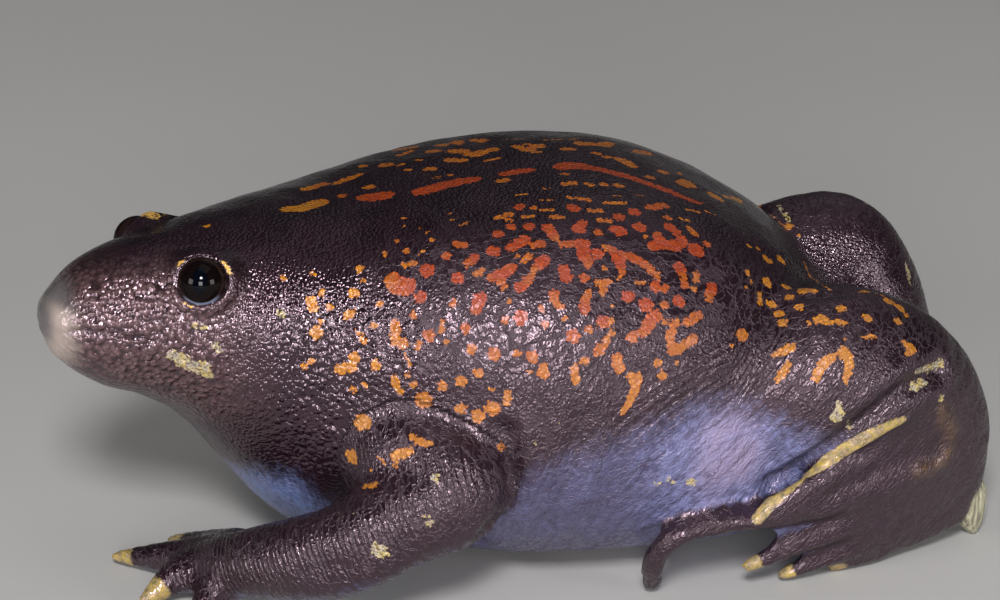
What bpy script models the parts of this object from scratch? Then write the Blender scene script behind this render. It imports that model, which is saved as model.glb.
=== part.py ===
"""A Mexican burrowing toad at rest, life size, as a museum would model it.

Body frame, in millimetres: the toad faces -X, its left side is -Y, +Z is up, and it rests on the
floor at z = 0. Trunk and head are laid out along a straight line first, then the front of the
body is bent to the toad's left. The limbs are laid out where they lie. At the end every solid is
moved so that the origin lies on the floor under the middle of the whole toad's box.
"""

import math

import bmesh
import bpy
import numpy as np
from mathutils import Matrix, Vector

MM = 0.001
PART_GAP = 0.3

# Trunk and head by stations: x, top, belly, half width, height of the widest point, squareness
# of the back.
BODY_STATIONS = (
    (-53.3, 31.5, 26.2, 3.2, 28.8, 2.2),
    (-51.0, 33.6, 23.9, 4.9, 28.9, 2.2),
    (-48.5, 34.8, 22.1, 6.3, 28.7, 2.2),
    (-45.0, 35.6, 20.6, 7.8, 28.4, 2.2),
    (-41.0, 36.0, 17.9, 9.4, 27.6, 2.2),
    (-36.0, 36.5, 12.4, 12.0, 25.6, 2.3),
    (-30.0, 36.8, 5.6, 15.6, 23.0, 2.5),
    (-24.0, 36.9, 2.1, 19.0, 21.0, 2.7),
    (-16.0, 37.8, 0.8, 22.2, 19.4, 2.95),
    (-8.0, 38.4, -0.4, 24.2, 18.4, 3.0),
    (0.0, 38.7, -0.7, 25.0, 17.8, 2.8),
    (8.0, 37.6, -0.7, 24.5, 17.2, 2.65),
    (16.0, 34.2, -0.5, 22.2, 16.2, 2.5),
    (22.0, 30.2, 0.0, 19.0, 14.8, 2.3),
    (27.5, 24.2, 1.0, 14.8, 12.6, 2.2),
    (31.5, 18.6, 2.4, 10.4, 10.4, 2.1),
    (34.2, 13.6, 4.0, 6.2, 8.8, 2.0),
    (35.6, 10.6, 6.0, 2.6, 8.2, 2.0),
)
STATION_STEP = 1.0
BELLY_SQUARENESS = 1.9
BODY_SIDES = 48
SNOUT_BALL = (-50.4, 0.0, 29.4, 3.8)

# The bend of the neck and shoulders to the toad's left.
BEND_FROM = -8.0
BEND_LENGTH = 26.0
BEND_ANGLE = math.radians(18.0)
HEAD_ROLL = math.radians(4.0)
ROLL_HEIGHT = 27.0
NECK_X = -31.0

# Eyes, brows, lids, nostrils and mouth, on the straight body: x, out to the side, height.
EYE_CENTRE = (-40.55, 7.9, 33.15)
EYE_RADIUS = 2.35
EYE_FORWARD = math.radians(28.0)
EYE_UP = math.radians(20.0)
EYE_SEGMENTS, EYE_RINGS = 20, 12
BROW_RADIUS = 2.8
BROW_SUNK = 1.0
LID_RING = 2.4
LID_THICK = 0.5
LID_OUT = 0.9
LID_SEGMENTS, LID_SIDES = 20, 8
NOSTRIL = (-45.2, 4.2, 34.4)
NOSTRIL_RADIUS = 0.5
NOSTRIL_SEGMENTS, NOSTRIL_RINGS = 12, 8
MOUTH_CORNER_X, MOUTH_CORNER_Z = -44.4, 27.0
MOUTH_FRONT_X, MOUTH_FRONT_Z = -53.7, 27.9
MOUTH_HEIGHT = 0.4
MOUTH_DEPTH = 0.8
MOUTH_OUT = 1.5
MOUTH_STEPS = 16
MOUTH_BLUNTNESS = 8

# Limbs where they lie: x, y, z, radius.
LEFT_ARM = (
    (-21.0, -11.0, 18.0, 6.6),
    (-18.2, -18.0, 16.8, 6.2),
    (-15.2, -22.8, 14.6, 5.3),
    (-20.4, -23.3, 12.2, 4.7),
    (-27.0, -21.8, 8.9, 4.1),
    (-31.5, -19.0, 6.9, 3.7),
    (-35.0, -15.4, 5.0, 3.2),
    (-36.8, -13.2, 4.0, 2.8),
)
RIGHT_ARM = (
    (-18.0, 10.0, 18.0, 6.5),
    (-13.6, 17.0, 16.6, 6.2),
    (-8.6, 21.8, 13.8, 5.4),
    (-12.0, 22.4, 10.2, 4.8),
    (-15.4, 20.8, 7.4, 4.1),
    (-18.0, 18.6, 5.6, 3.6),
    (-20.2, 16.0, 4.4, 3.0),
    (-21.4, 14.0, 3.6, 2.7),
)
LEFT_FINGERS = (
    ((-34.6, -10.6, 3.8, 2.7), (-37.2, -5.6, 2.4, 1.8), (-40.2, -0.8, 1.0, 0.9)),
    (
        (-35.6, -12.0, 3.9, 2.9),
        (-40.0, -8.2, 2.6, 2.0),
        (-43.2, -5.6, 1.7, 1.4),
        (-46.4, -3.4, 0.9, 0.8),
    ),
    ((-36.0, -13.4, 3.9, 2.9), (-40.4, -12.0, 2.6, 2.0), (-44.4, -14.0, 0.9, 0.9)),
    ((-35.4, -14.8, 3.8, 2.7), (-38.2, -17.0, 2.4, 1.7), (-40.2, -20.4, 0.9, 0.9)),
)
RIGHT_FINGERS = (
    ((-20.6, 12.8, 3.6, 2.6), (-21.6, 8.6, 2.2, 1.6), (-22.0, 4.8, 0.9, 0.9)),
    ((-21.2, 13.4, 3.6, 2.7), (-23.8, 10.6, 2.3, 1.7), (-27.2, 8.2, 0.9, 0.9)),
    ((-21.4, 14.2, 3.6, 2.7), (-24.6, 13.8, 2.3, 1.7), (-28.2, 14.2, 0.9, 0.9)),
    ((-21.0, 15.0, 3.6, 2.6), (-23.0, 17.2, 2.2, 1.6), (-24.6, 20.6, 0.9, 0.9)),
)
LEFT_LEG = (
    (8.0, -12.5, 18.5, 8.2),
    (16.0, -15.0, 19.6, 8.7),
    (23.5, -15.7, 20.8, 8.9),
    (29.0, -14.8, 19.6, 7.8),
    (33.2, -13.6, 16.6, 6.3),
    (35.8, -12.6, 12.2, 5.1),
    (36.4, -11.8, 8.0, 4.5),
)
RIGHT_LEG = (
    (10.0, 12.5, 17.0, 7.6),
    (18.6, 15.2, 17.0, 7.5),
    (26.4, 16.6, 18.8, 7.4),
    (32.6, 16.8, 19.9, 6.8),
    (34.8, 15.8, 16.6, 6.6),
    (36.8, 14.4, 11.4, 5.8),
    (37.4, 13.2, 7.6, 4.6),
)
ELBOW_AT, WRIST_AT = 2, -2
KNEE_X = {"left": 24.0, "right": 26.0}
SIDES = (("left", -1), ("right", 1))

# Toes of the left foot, from the outermost to the innermost. The right foot mirrors them,
# a little farther back and out.
TOES = (
    (
        (34.6, -15.6, 16.4, 3.0),
        (30.5, -19.2, 15.6, 2.2),
        (26.0, -21.4, 14.6, 1.6),
        (20.0, -23.2, 12.4, 1.3),
        (14.0, -24.0, 9.4, 0.95),
    ),
    (
        (36.0, -14.6, 12.4, 3.4),
        (29.0, -19.4, 11.6, 2.7),
        (22.0, -22.0, 10.4, 1.9),
        (16.0, -23.0, 9.4, 1.35),
        (10.0, -23.6, 9.0, 1.15),
        (6.2, -23.6, 8.2, 1.1),
        (4.8, -22.6, 6.0, 1.05),
        (4.9, -20.6, 3.2, 1.0),
        (5.2, -18.6, 0.9, 0.9),
    ),
    ((36.4, -13.8, 9.0, 3.2), (29.0, -18.4, 8.0, 2.4), (21.5, -20.6, 6.0, 1.5), (14.4, -20.6, 3.0, 0.95)),
    ((36.6, -13.0, 6.4, 3.0), (29.5, -17.2, 4.8, 2.0), (23.4, -18.8, 2.8, 1.3), (18.2, -19.0, 0.9, 0.9)),
    ((36.8, -12.4, 4.2, 2.8), (31.4, -15.2, 2.6, 1.8), (27.4, -16.8, 1.4, 1.2), (23.8, -17.4, 0.7, 0.85)),
)
RIGHT_FOOT_SHIFT = (0.6, 1.6, 0.0)
TOE_WEBS = ((0.92, 0.62), (0.62, 0.92), (0.86, 0.9), (0.9, 0.9))
FINGER_WEBS = ((0.62, 0.5), (0.5, 0.6), (0.6, 0.62))
WEB_THICK = 1.1
WEB_SAG = 0.12
WEB_SPACING = 0.4 * WEB_THICK
WEB_STEPS = 200

# Balls along a limb: their spacing by its thinnest radius, and the radius from which they are finer.
BEAD_SPACING = 0.35
LARGE_BEAD = 3.0

# The horny digging spade at the heel.
SPADE_CENTRE = (39.4, -11.2, 4.2)
SPADE_SIZE = (2.1, 1.5, 4.3)
SPADE_LEAN = math.radians(12.0)
SPADE_TAPER = 0.35
SPADE_SEGMENTS, SPADE_RINGS = 16, 10

# How the clay is melted together: grain, rounds of smoothing and triangles kept.
BODY_VOXEL, BODY_SMOOTHING, BODY_TRIANGLES = 0.55, 6, 3300
DIGIT_VOXEL, DIGIT_SMOOTHING, HAND_TRIANGLES, FOOT_TRIANGLES = 0.36, 3, 420, 820
REGION_VOXEL, REGION_SMOOTHING, REGION_TRIANGLES = 0.8, 4, 360
REGION_MARGIN = 0.7
SMOOTH_FACTOR = 0.5
MERGE = 0.001
SHARP_ANGLE = math.radians(38.0)
# Cutter boxes reach farther than any part.
FAR = 90.0

# Colours and roughness of the skin, the head, the horn and the eyes.
DARK, SKIN_ROUGHNESS = (0.03, 0.02, 0.03), 0.3
BROWN, HEAD_ROUGHNESS = (0.05, 0.035, 0.035), 0.35
HORN, HORN_ROUGHNESS = (0.45, 0.42, 0.3), 0.4
BLACK, EYE_ROUGHNESS = (0.005, 0.004, 0.003), 0.05

PARTS = bpy.data.collections.new("burrowing_toad")
CUTTERS = bpy.data.collections.new("cutters")


def clear_scene():
    for obj in list(bpy.data.objects):
        bpy.data.objects.remove(obj)
    bpy.context.scene.collection.children.link(PARTS)
    bpy.context.scene.collection.children.link(CUTTERS)


def smooth_values(table, xs):
    """Smooth curve through a table's rows, read at xs along its first column."""
    table = np.asarray(table, float)
    knots = table[:, 0]
    slopes = np.gradient(table[:, 1:], knots, axis=0)
    xs = np.clip(np.asarray(xs, float), knots[0], knots[-1])
    i = np.clip(np.searchsorted(knots, xs) - 1, 0, len(knots) - 2)
    span = (knots[i + 1] - knots[i])[:, None]
    t = (xs - knots[i])[:, None] / span
    start = (2 * t**3 - 3 * t**2 + 1) * table[i, 1:] + (t**3 - 2 * t**2 + t) * span * slopes[i]
    end = (3 * t**2 - 2 * t**3) * table[i + 1, 1:] + (t**3 - t**2) * span * slopes[i + 1]
    return start + end


def bent(points):
    """Points laid out on the straight body, after its front bends left and rolls a little right."""
    points = np.array(points, float).reshape(-1, 3)
    along = np.maximum(BEND_FROM - points[:, 0], 0.0)
    radius = BEND_LENGTH / BEND_ANGLE
    turn = np.minimum(along, BEND_LENGTH) / radius
    past = np.maximum(along - BEND_LENGTH, 0.0)
    ahead = radius * np.sin(turn) + past * np.cos(turn)
    aside = radius * (1 - np.cos(turn)) + past * np.sin(turn)
    mid_x = np.where(along > 0, BEND_FROM - ahead, points[:, 0])
    roll = HEAD_ROLL * turn / BEND_ANGLE
    across = points[:, 1] * np.cos(roll) + (points[:, 2] - ROLL_HEIGHT) * np.sin(roll)
    rise = (points[:, 2] - ROLL_HEIGHT) * np.cos(roll) - points[:, 1] * np.sin(roll)
    x = mid_x - across * np.sin(turn)
    y = -aside + across * np.cos(turn)
    return np.stack([x, y, rise + ROLL_HEIGHT], 1)


def new_object(name, bm, collection=CUTTERS):
    mesh = bpy.data.meshes.new(name)
    bmesh.ops.recalc_face_normals(bm, faces=bm.faces)
    bm.to_mesh(mesh)
    bm.free()
    obj = bpy.data.objects.new(name, mesh)
    collection.objects.link(obj)
    return obj


def apply_modifiers(obj):
    bpy.context.view_layer.update()
    evaluated = obj.evaluated_get(bpy.context.evaluated_depsgraph_get())
    mesh = bpy.data.meshes.new_from_object(evaluated)
    old = obj.data
    obj.modifiers.clear()
    obj.data = mesh
    bpy.data.meshes.remove(old)
    return obj


def body_loft():
    """Trunk and head as one closed loft, bent at the front."""
    first, last = BODY_STATIONS[0][0], BODY_STATIONS[-1][0]
    xs = np.linspace(first, last, int((last - first) / STATION_STEP) + 1)
    bm = bmesh.new()
    rings = []
    for x, (top, belly, wide, widest_z, squareness) in zip(xs, smooth_values(BODY_STATIONS, xs)):
        ring = []
        for k in range(BODY_SIDES):
            angle = 2 * math.pi * k / BODY_SIDES
            side, rise = math.cos(angle), math.sin(angle)
            power = 2 / (squareness if rise > 0 else BELLY_SQUARENESS)
            reach = top - widest_z if rise > 0 else widest_z - belly
            y = wide * math.copysign(abs(side) ** power, side)
            z = widest_z + reach * math.copysign(abs(rise) ** power, rise)
            ring.append(bm.verts.new(Vector(bent((x, y, z))[0]) * MM))
        rings.append(ring)
    for a, b in zip(rings, rings[1:]):
        for k in range(BODY_SIDES):
            n = (k + 1) % BODY_SIDES
            bm.faces.new((a[k], a[n], b[n], b[k]))
    bm.faces.new(rings[0])
    bm.faces.new(reversed(rings[-1]))
    return new_object("trunk_loft", bm)


def limb_path(points, steps):
    """Evenly read positions and radii of a limb's smooth path."""
    points = np.asarray(points, float)
    length = np.r_[0.0, np.cumsum(np.linalg.norm(np.diff(points[:, :3], axis=0), axis=1))]
    table = np.column_stack([length, points])
    return smooth_values(table, np.linspace(0.0, length[-1], steps))


def limb_beads(points, grow=0.0):
    """A round limb as a close row of balls along its path: centre and radius of each."""
    length = np.linalg.norm(np.diff(np.asarray(points)[:, :3], axis=0), axis=1).sum()
    thin = min(p[3] for p in points)
    beads = limb_path(points, max(3, int(length / (BEAD_SPACING * thin))))
    beads[:, 3] += grow
    return beads


def web_beads(one, other, reach):
    """Skin between two neighbouring digits, as rows of small balls from digit to digit."""
    a = limb_path(one, WEB_STEPS)[:, :3]
    b = limb_path(other, WEB_STEPS)[:, :3]
    root = (a[0] + b[0]) / 2
    rows = int(reach[0] * np.linalg.norm(a[-1] - a[0]) / WEB_SPACING)
    last = WEB_STEPS - 1
    beads = []
    for t in np.linspace(0.0, 1.0, rows):
        start, end = a[int(last * reach[0] * t)], b[int(last * reach[1] * t)]
        across = max(2, int(np.linalg.norm(end - start) / WEB_SPACING))
        for s in np.linspace(0.0, 1.0, across):
            sag = WEB_SAG * math.sin(math.pi * s) * t
            beads.append((*((start * (1 - s) + end * s) * (1 - sag) + root * sag), WEB_THICK / 2))
    return np.array(beads)


def ball_mesh(beads):
    """Corners and faces of one ball for each bead."""
    corners, faces = [], []
    large = beads[:, 3] > LARGE_BEAD
    for fine, chosen in ((3, beads[large]), (2, beads[~large])):
        bm = bmesh.new()
        bmesh.ops.create_icosphere(bm, subdivisions=fine, radius=1.0)
        unit = np.array([v.co[:] for v in bm.verts])
        triangles = np.array([[v.index for v in f.verts] for f in bm.faces])
        bm.free()
        for bead in chosen:
            faces.append(triangles + sum(len(c) for c in corners))
            corners.append(bead[:3] + unit * bead[3])
    return np.concatenate(corners) * MM, np.concatenate(faces)


def mesh_object(name, corners, faces):
    mesh = bpy.data.meshes.new(name)
    mesh.from_pydata(corners.tolist(), [], faces.tolist())
    obj = bpy.data.objects.new(name, mesh)
    CUTTERS.objects.link(obj)
    return obj


def fused(obj, voxel, triangles, smooth_rounds):
    """One closed surface round everything in the object's mesh, with few triangles."""
    remesh = obj.modifiers.new("fuse", "REMESH")
    remesh.mode = "VOXEL"
    remesh.voxel_size = voxel * MM
    smooth = obj.modifiers.new("smooth", "SMOOTH")
    smooth.factor = SMOOTH_FACTOR
    smooth.iterations = smooth_rounds
    apply_modifiers(obj)
    faces = sum(len(p.vertices) - 2 for p in obj.data.polygons)
    thin = obj.modifiers.new("thin", "DECIMATE")
    thin.ratio = min(1.0, triangles / faces)
    thin.use_collapse_triangulate = True
    apply_modifiers(obj)
    return obj


def box(name, low, high, turn=None):
    """A cutter box between two corners, in millimetres, turned about a point."""
    bm = bmesh.new()
    bmesh.ops.create_cube(bm, size=1.0)
    size = [h - l for l, h in zip(low, high)]
    middle = [(h + l) / 2 for l, h in zip(low, high)]
    bmesh.ops.scale(bm, vec=Vector(size) * MM, verts=bm.verts)
    bmesh.ops.translate(bm, vec=Vector(middle) * MM, verts=bm.verts)
    if turn is not None:
        bmesh.ops.transform(bm, matrix=turn, verts=bm.verts)
    return new_object(name, bm)


def cut(obj, cutter, operation, keep_cutter=False):
    boolean = obj.modifiers.new(operation, "BOOLEAN")
    boolean.operation = operation
    boolean.solver = "EXACT"
    boolean.object = cutter
    cutter.hide_render = True
    cutter.display_type = "WIRE"
    apply_modifiers(obj)
    if not keep_cutter:
        bpy.data.objects.remove(cutter)
    return obj


def keep_largest(obj):
    """Keep the largest closed surface of a mesh."""
    bm = bmesh.new()
    bm.from_mesh(obj.data)
    bmesh.ops.remove_doubles(bm, verts=bm.verts, dist=MERGE * MM)
    unseen = set(bm.verts)
    groups = []
    while unseen:
        seed = unseen.pop()
        group, todo = {seed}, [seed]
        while todo:
            for edge in todo.pop().link_edges:
                for v in edge.verts:
                    if v in unseen:
                        unseen.remove(v)
                        group.add(v)
                        todo.append(v)
        groups.append(group)
    largest = max(groups, key=len)
    bmesh.ops.delete(bm, geom=[v for v in bm.verts if v not in largest], context="VERTS")
    bmesh.ops.triangulate(bm, faces=bm.faces)
    bm.to_mesh(obj.data)
    bm.free()
    return obj


def duplicate(obj, name, grow=0.0):
    copy = bpy.data.objects.new(name, obj.data.copy())
    CUTTERS.objects.link(copy)
    if grow:
        push = copy.modifiers.new("grow", "DISPLACE")
        push.strength = grow * MM
        push.mid_level = 0.0
        apply_modifiers(copy)
    return copy


def limb_region(name, points):
    """A closed surface a little outside a limb, which parts it from the trunk."""
    beads = limb_beads(points, grow=REGION_MARGIN)
    return fused(mesh_object(name, *ball_mesh(beads)), REGION_VOXEL, REGION_TRIANGLES, REGION_SMOOTHING)


def mirrored(points, shift=(0.0, 0.0, 0.0)):
    return tuple((x + shift[0], -y + shift[1], z + shift[2], r) for x, y, z, r in points)


def half_width(x, z):
    """Distance from the middle of the straight body to its side at one height."""
    top, belly, wide, widest_z, squareness = smooth_values(BODY_STATIONS, [x])[0]
    power = squareness if z > widest_z else BELLY_SQUARENESS
    reach = top - widest_z if z > widest_z else widest_z - belly
    return wide * max(0.0, 1.0 - (abs(z - widest_z) / reach) ** power) ** (1 / power)


def eye_place(side):
    """Centre of an eye and the way it looks, on the bent body."""
    x, out, z = EYE_CENTRE
    centre = Vector(bent((x, side * out, z))[0])
    look = Vector((-math.sin(EYE_FORWARD), side * math.cos(EYE_FORWARD), math.tan(EYE_UP))).normalized()
    ahead = Vector(bent((x + look.x, side * out + look.y, z + look.z))[0])
    return centre, (ahead - centre).normalized()


def ball(name, centre, radius, collection=CUTTERS, segments=EYE_SEGMENTS, rings=EYE_RINGS):
    bm = bmesh.new()
    place = Matrix.Translation(Vector(centre) * MM)
    bmesh.ops.create_uvsphere(
        bm, u_segments=segments, v_segments=rings, radius=radius * MM, matrix=place
    )
    return new_object(name, bm, collection)


def lid_ring(side):
    """The raised rim of the lids round one eye."""
    centre, look = eye_place(side)
    bpy.ops.mesh.primitive_torus_add(
        major_radius=LID_RING * MM,
        minor_radius=LID_THICK * MM,
        major_segments=LID_SEGMENTS,
        minor_segments=LID_SIDES,
        location=(centre + look * LID_OUT) * MM,
        rotation=look.to_track_quat("Z", "Y").to_euler(),
    )
    ring = bpy.context.object
    ring.data.transform(ring.matrix_world)
    ring.matrix_world = Matrix()
    return ring


def mouth_cutter():
    """A thin curved strip that cuts the line of the mouth from corner to corner."""
    bm = bmesh.new()
    outline = []
    for k in range(MOUTH_STEPS + 1):
        t = k / MOUTH_STEPS
        x = MOUTH_CORNER_X + (MOUTH_FRONT_X - MOUTH_CORNER_X) * math.sin(t * math.pi / 2)
        z = MOUTH_CORNER_Z + (MOUTH_FRONT_Z - MOUTH_CORNER_Z) * t
        y = half_width(x, z) * math.sqrt(max(0.0, 1 - t**MOUTH_BLUNTNESS))
        outline.append((x, y, z))
    right_side = [(x, y, z) for x, y, z in reversed(outline[:-1])]
    outline = [(x, -y, z) for x, y, z in outline] + right_side
    rows = []
    for x, y, z in outline:
        away = Vector((min(0.0, x - SNOUT_BALL[0]), y, 0.0))
        away = away.normalized() if away.length > 0 else Vector((-1.0, 0.0, 0.0))
        row = []
        for reach in (MOUTH_OUT, -MOUTH_DEPTH):
            for lift in (-0.5, 0.5):
                point = (x + away.x * reach, y + away.y * reach, z + lift * MOUTH_HEIGHT)
                row.append(bm.verts.new(Vector(bent(point)[0]) * MM))
        rows.append(row)
    for a, b in zip(rows, rows[1:]):
        bm.faces.new((a[0], b[0], b[1], a[1]))
        bm.faces.new((a[1], b[1], b[3], a[3]))
        bm.faces.new((a[3], b[3], b[2], a[2]))
        bm.faces.new((a[2], b[2], b[0], a[0]))
    bm.faces.new((rows[0][0], rows[0][1], rows[0][3], rows[0][2]))
    bm.faces.new((rows[-1][0], rows[-1][2], rows[-1][3], rows[-1][1]))
    return new_object("mouth_cutter", bm)


def neck_box(name, shift):
    """A box whose rear face is the neck's parting plane."""
    middle = Vector(bent((NECK_X + shift, 0.0, 0.0))[0]) * MM
    angle = BEND_ANGLE * (BEND_FROM - NECK_X) / BEND_LENGTH
    turn = Matrix.Translation(middle) @ Matrix.Rotation(angle, 4, "Z")
    return box(name, (-FAR, -FAR, -FAR), (0, FAR, FAR), turn)


def digits(name, paths, reaches, triangles):
    """Fingers or toes with the webs between them, as one closed surface."""
    beads = [limb_beads(path) for path in paths]
    beads += [web_beads(*pair, reach) for *pair, reach in zip(paths, paths[1:], reaches)]
    clay = mesh_object(name, *ball_mesh(np.concatenate(beads)))
    return fused(clay, DIGIT_VOXEL, triangles, DIGIT_SMOOTHING)


def floor_cutter(name):
    return box(name, (-FAR, -FAR, -FAR), (FAR, FAR, 0))


def spade(side):
    """A thick curved blade of horn, standing on its edge at the heel."""
    bm = bmesh.new()
    bmesh.ops.create_uvsphere(bm, u_segments=SPADE_SEGMENTS, v_segments=SPADE_RINGS, radius=1.0)
    for v in bm.verts:
        v.co.x *= 1.0 - SPADE_TAPER * max(0.0, -v.co.z)
    bmesh.ops.scale(bm, vec=Vector(SPADE_SIZE) * MM, verts=bm.verts)
    lean = Matrix.Rotation(-SPADE_LEAN, 3, "Y")
    bmesh.ops.rotate(bm, cent=(0, 0, 0), matrix=lean, verts=bm.verts)
    x, y, z = SPADE_CENTRE
    bmesh.ops.translate(bm, vec=Vector((x, y, z)) * MM, verts=bm.verts)
    if side > 0:
        bmesh.ops.scale(bm, vec=Vector((1, -1, 1)), verts=bm.verts)
        bmesh.ops.translate(bm, vec=Vector(RIGHT_FOOT_SHIFT) * MM, verts=bm.verts)
    name = "spade_right" if side > 0 else "spade_left"
    return new_object(name, bm, PARTS)


def material(name, colour, roughness):
    made = bpy.data.materials.new(name)
    made.use_nodes = True
    shader = made.node_tree.nodes["Principled BSDF"]
    shader.inputs["Base Color"].default_value = (*colour, 1.0)
    shader.inputs["Roughness"].default_value = roughness
    return made


def finish(obj, name, colour, roughness):
    """Name a finished solid, shade it smooth and put it among the parts."""
    obj.name = name
    obj.data.name = name
    obj.data.materials.clear()
    obj.data.materials.append(material(name + "_skin", colour, roughness))
    obj.data.shade_smooth()
    obj.data.set_sharp_from_angle(angle=SHARP_ANGLE)
    for collection in list(obj.users_collection):
        collection.objects.unlink(obj)
    PARTS.objects.link(obj)
    return obj


def build_flesh():
    """Trunk, head, arms and hind legs as one closed surface, flat where it lies on the floor."""
    beads = [limb_beads(path) for path in (LEFT_ARM, RIGHT_ARM, LEFT_LEG, RIGHT_LEG)]
    x, y, z, radius = SNOUT_BALL
    beads.append(np.array([(*bent((x, y, z))[0], radius)]))
    for side in (-1, 1):
        centre, look = eye_place(side)
        beads.append(np.array([(*(centre - look * BROW_SUNK), BROW_RADIUS)]))
    corners, faces = ball_mesh(np.concatenate(beads))
    loft = body_loft()
    loft_corners = np.array([v.co[:] for v in loft.data.vertices])
    loft_faces = [[i + len(corners) for i in p.vertices] for p in loft.data.polygons]
    bpy.data.objects.remove(loft)
    mesh = bpy.data.meshes.new("flesh")
    all_corners = np.concatenate([corners, loft_corners])
    mesh.from_pydata(all_corners.tolist(), [], faces.tolist() + loft_faces)
    flesh = bpy.data.objects.new("flesh", mesh)
    CUTTERS.objects.link(flesh)
    fused(flesh, BODY_VOXEL, BODY_TRIANGLES, BODY_SMOOTHING)
    return cut(flesh, floor_cutter("floor"), "DIFFERENCE")


def build_digits(flesh):
    """Hands, feet and spades, parted by a gap from the limbs and from each other."""
    whole = duplicate(flesh, "whole", PART_GAP)
    for side, sign in SIDES:
        fingers = LEFT_FINGERS if sign < 0 else RIGHT_FINGERS
        toes = TOES if sign < 0 else [mirrored(toe, RIGHT_FOOT_SHIFT) for toe in TOES]
        hand = digits("hand", fingers, FINGER_WEBS, HAND_TRIANGLES)
        foot = digits("foot", toes, TOE_WEBS, FOOT_TRIANGLES)
        shovel = spade(sign)
        cut(shovel, floor_cutter("floor"), "DIFFERENCE")
        for piece in (hand, foot, shovel):
            cut(piece, whole, "DIFFERENCE", keep_cutter=True)
        cut(foot, duplicate(shovel, "spade_grown", PART_GAP), "DIFFERENCE")
        for piece in (hand, foot):
            cut(piece, floor_cutter("floor"), "DIFFERENCE")
        finish(keep_largest(hand), "hand_" + side, DARK, SKIN_ROUGHNESS)
        finish(keep_largest(foot), "foot_" + side, DARK, SKIN_ROUGHNESS)
        finish(keep_largest(shovel), "spade_" + side, HORN, HORN_ROUGHNESS)
    bpy.data.objects.remove(whole)


def elbow_turn(path):
    """The place and turn of the elbow's parting plane, which faces along the arm."""
    shoulder, elbow, wrist = (Vector(path[k][:3]) for k in (0, ELBOW_AT, WRIST_AT))
    along = ((wrist - elbow).normalized() - (shoulder - elbow).normalized()).normalized()
    return Matrix.Translation(elbow * MM) @ along.to_track_quat("Z", "Y").to_matrix().to_4x4()


def part_limbs(flesh):
    """Arms and legs in two pieces each; returns what is left, the trunk with the head."""
    trunk = duplicate(flesh, "trunk")
    for side, sign in SIDES:
        path = LEFT_ARM if sign < 0 else RIGHT_ARM
        region = limb_region("arm_region", path)
        cut(trunk, duplicate(region, "arm_grown", PART_GAP), "DIFFERENCE")
        arm = cut(duplicate(flesh, "arm"), region, "INTERSECT")
        turn = elbow_turn(path)
        upper = duplicate(arm, "upper")
        cut(upper, box("elbow_far", (-FAR, -FAR, -PART_GAP), (FAR, FAR, FAR), turn), "DIFFERENCE")
        cut(arm, box("elbow_near", (-FAR, -FAR, -FAR), (FAR, FAR, 0), turn), "DIFFERENCE")
        finish(keep_largest(upper), "upper_arm_" + side, DARK, SKIN_ROUGHNESS)
        finish(keep_largest(arm), "forearm_" + side, DARK, SKIN_ROUGHNESS)

        region = limb_region("leg_region", LEFT_LEG if sign < 0 else RIGHT_LEG)
        cut(trunk, duplicate(region, "leg_grown", PART_GAP), "DIFFERENCE")
        leg = cut(duplicate(flesh, "leg"), region, "INTERSECT")
        thigh = duplicate(leg, "thigh")
        knee = KNEE_X[side]
        cut(thigh, box("knee_rear", (knee - PART_GAP, -FAR, -FAR), (FAR, FAR, FAR)), "DIFFERENCE")
        cut(leg, box("knee_front", (-FAR, -FAR, -FAR), (knee, FAR, FAR)), "DIFFERENCE")
        finish(keep_largest(thigh), "thigh_" + side, BROWN, SKIN_ROUGHNESS)
        finish(keep_largest(leg), "shank_" + side, BROWN, SKIN_ROUGHNESS)
    return trunk


def part_head(trunk):
    """The head with its lids, nostrils and mouth, the two eyes, and the torso."""
    head = duplicate(trunk, "head_copy")
    cut(head, neck_box("neck_front", 0.0), "INTERSECT")
    cut(trunk, neck_box("neck_grown", PART_GAP), "DIFFERENCE")
    for _, sign in SIDES:
        cut(head, lid_ring(sign), "UNION")
    for side, sign in SIDES:
        centre, _ = eye_place(sign)
        cut(head, ball("socket", centre, EYE_RADIUS + PART_GAP), "DIFFERENCE")
        x, out, z = NOSTRIL
        place = bent((x, sign * out, z))[0]
        pit = ball(
            "nostril", place, NOSTRIL_RADIUS, segments=NOSTRIL_SEGMENTS, rings=NOSTRIL_RINGS
        )
        cut(head, pit, "DIFFERENCE")
        finish(ball("eye", centre, EYE_RADIUS, PARTS), "eye_" + side, BLACK, EYE_ROUGHNESS)
    cut(head, mouth_cutter(), "DIFFERENCE")
    finish(keep_largest(head), "head", BROWN, HEAD_ROUGHNESS)
    finish(keep_largest(trunk), "torso", DARK, SKIN_ROUGHNESS)


def centre_parts():
    """Move every part so that the origin lies under the middle of them all."""
    points = np.concatenate([[v.co[:] for v in obj.data.vertices] for obj in PARTS.objects])
    middle = (points.min(0) + points.max(0)) / 2
    shift = Matrix.Translation((-middle[0], -middle[1], 0.0))
    for obj in PARTS.objects:
        obj.data.transform(shift)


clear_scene()
clay = build_flesh()
build_digits(clay)
part_head(part_limbs(clay))
bpy.data.objects.remove(clay)
centre_parts()
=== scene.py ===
"""A Mexican burrowing toad at rest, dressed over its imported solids: one wet, spotted skin over the
whole animal, two glossy eyes and the two horny spades at its heels.

Lengths are in millimetres in the toad's own frame: it faces -X, its left side is -Y and the floor
is z = 0. The frame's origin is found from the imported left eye.
"""

import math

import random

import bmesh
import bpy
import numpy as np
from mathutils import Matrix, Vector, noise
from mathutils.bvhtree import BVHTree
from mathutils.kdtree import KDTree


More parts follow.
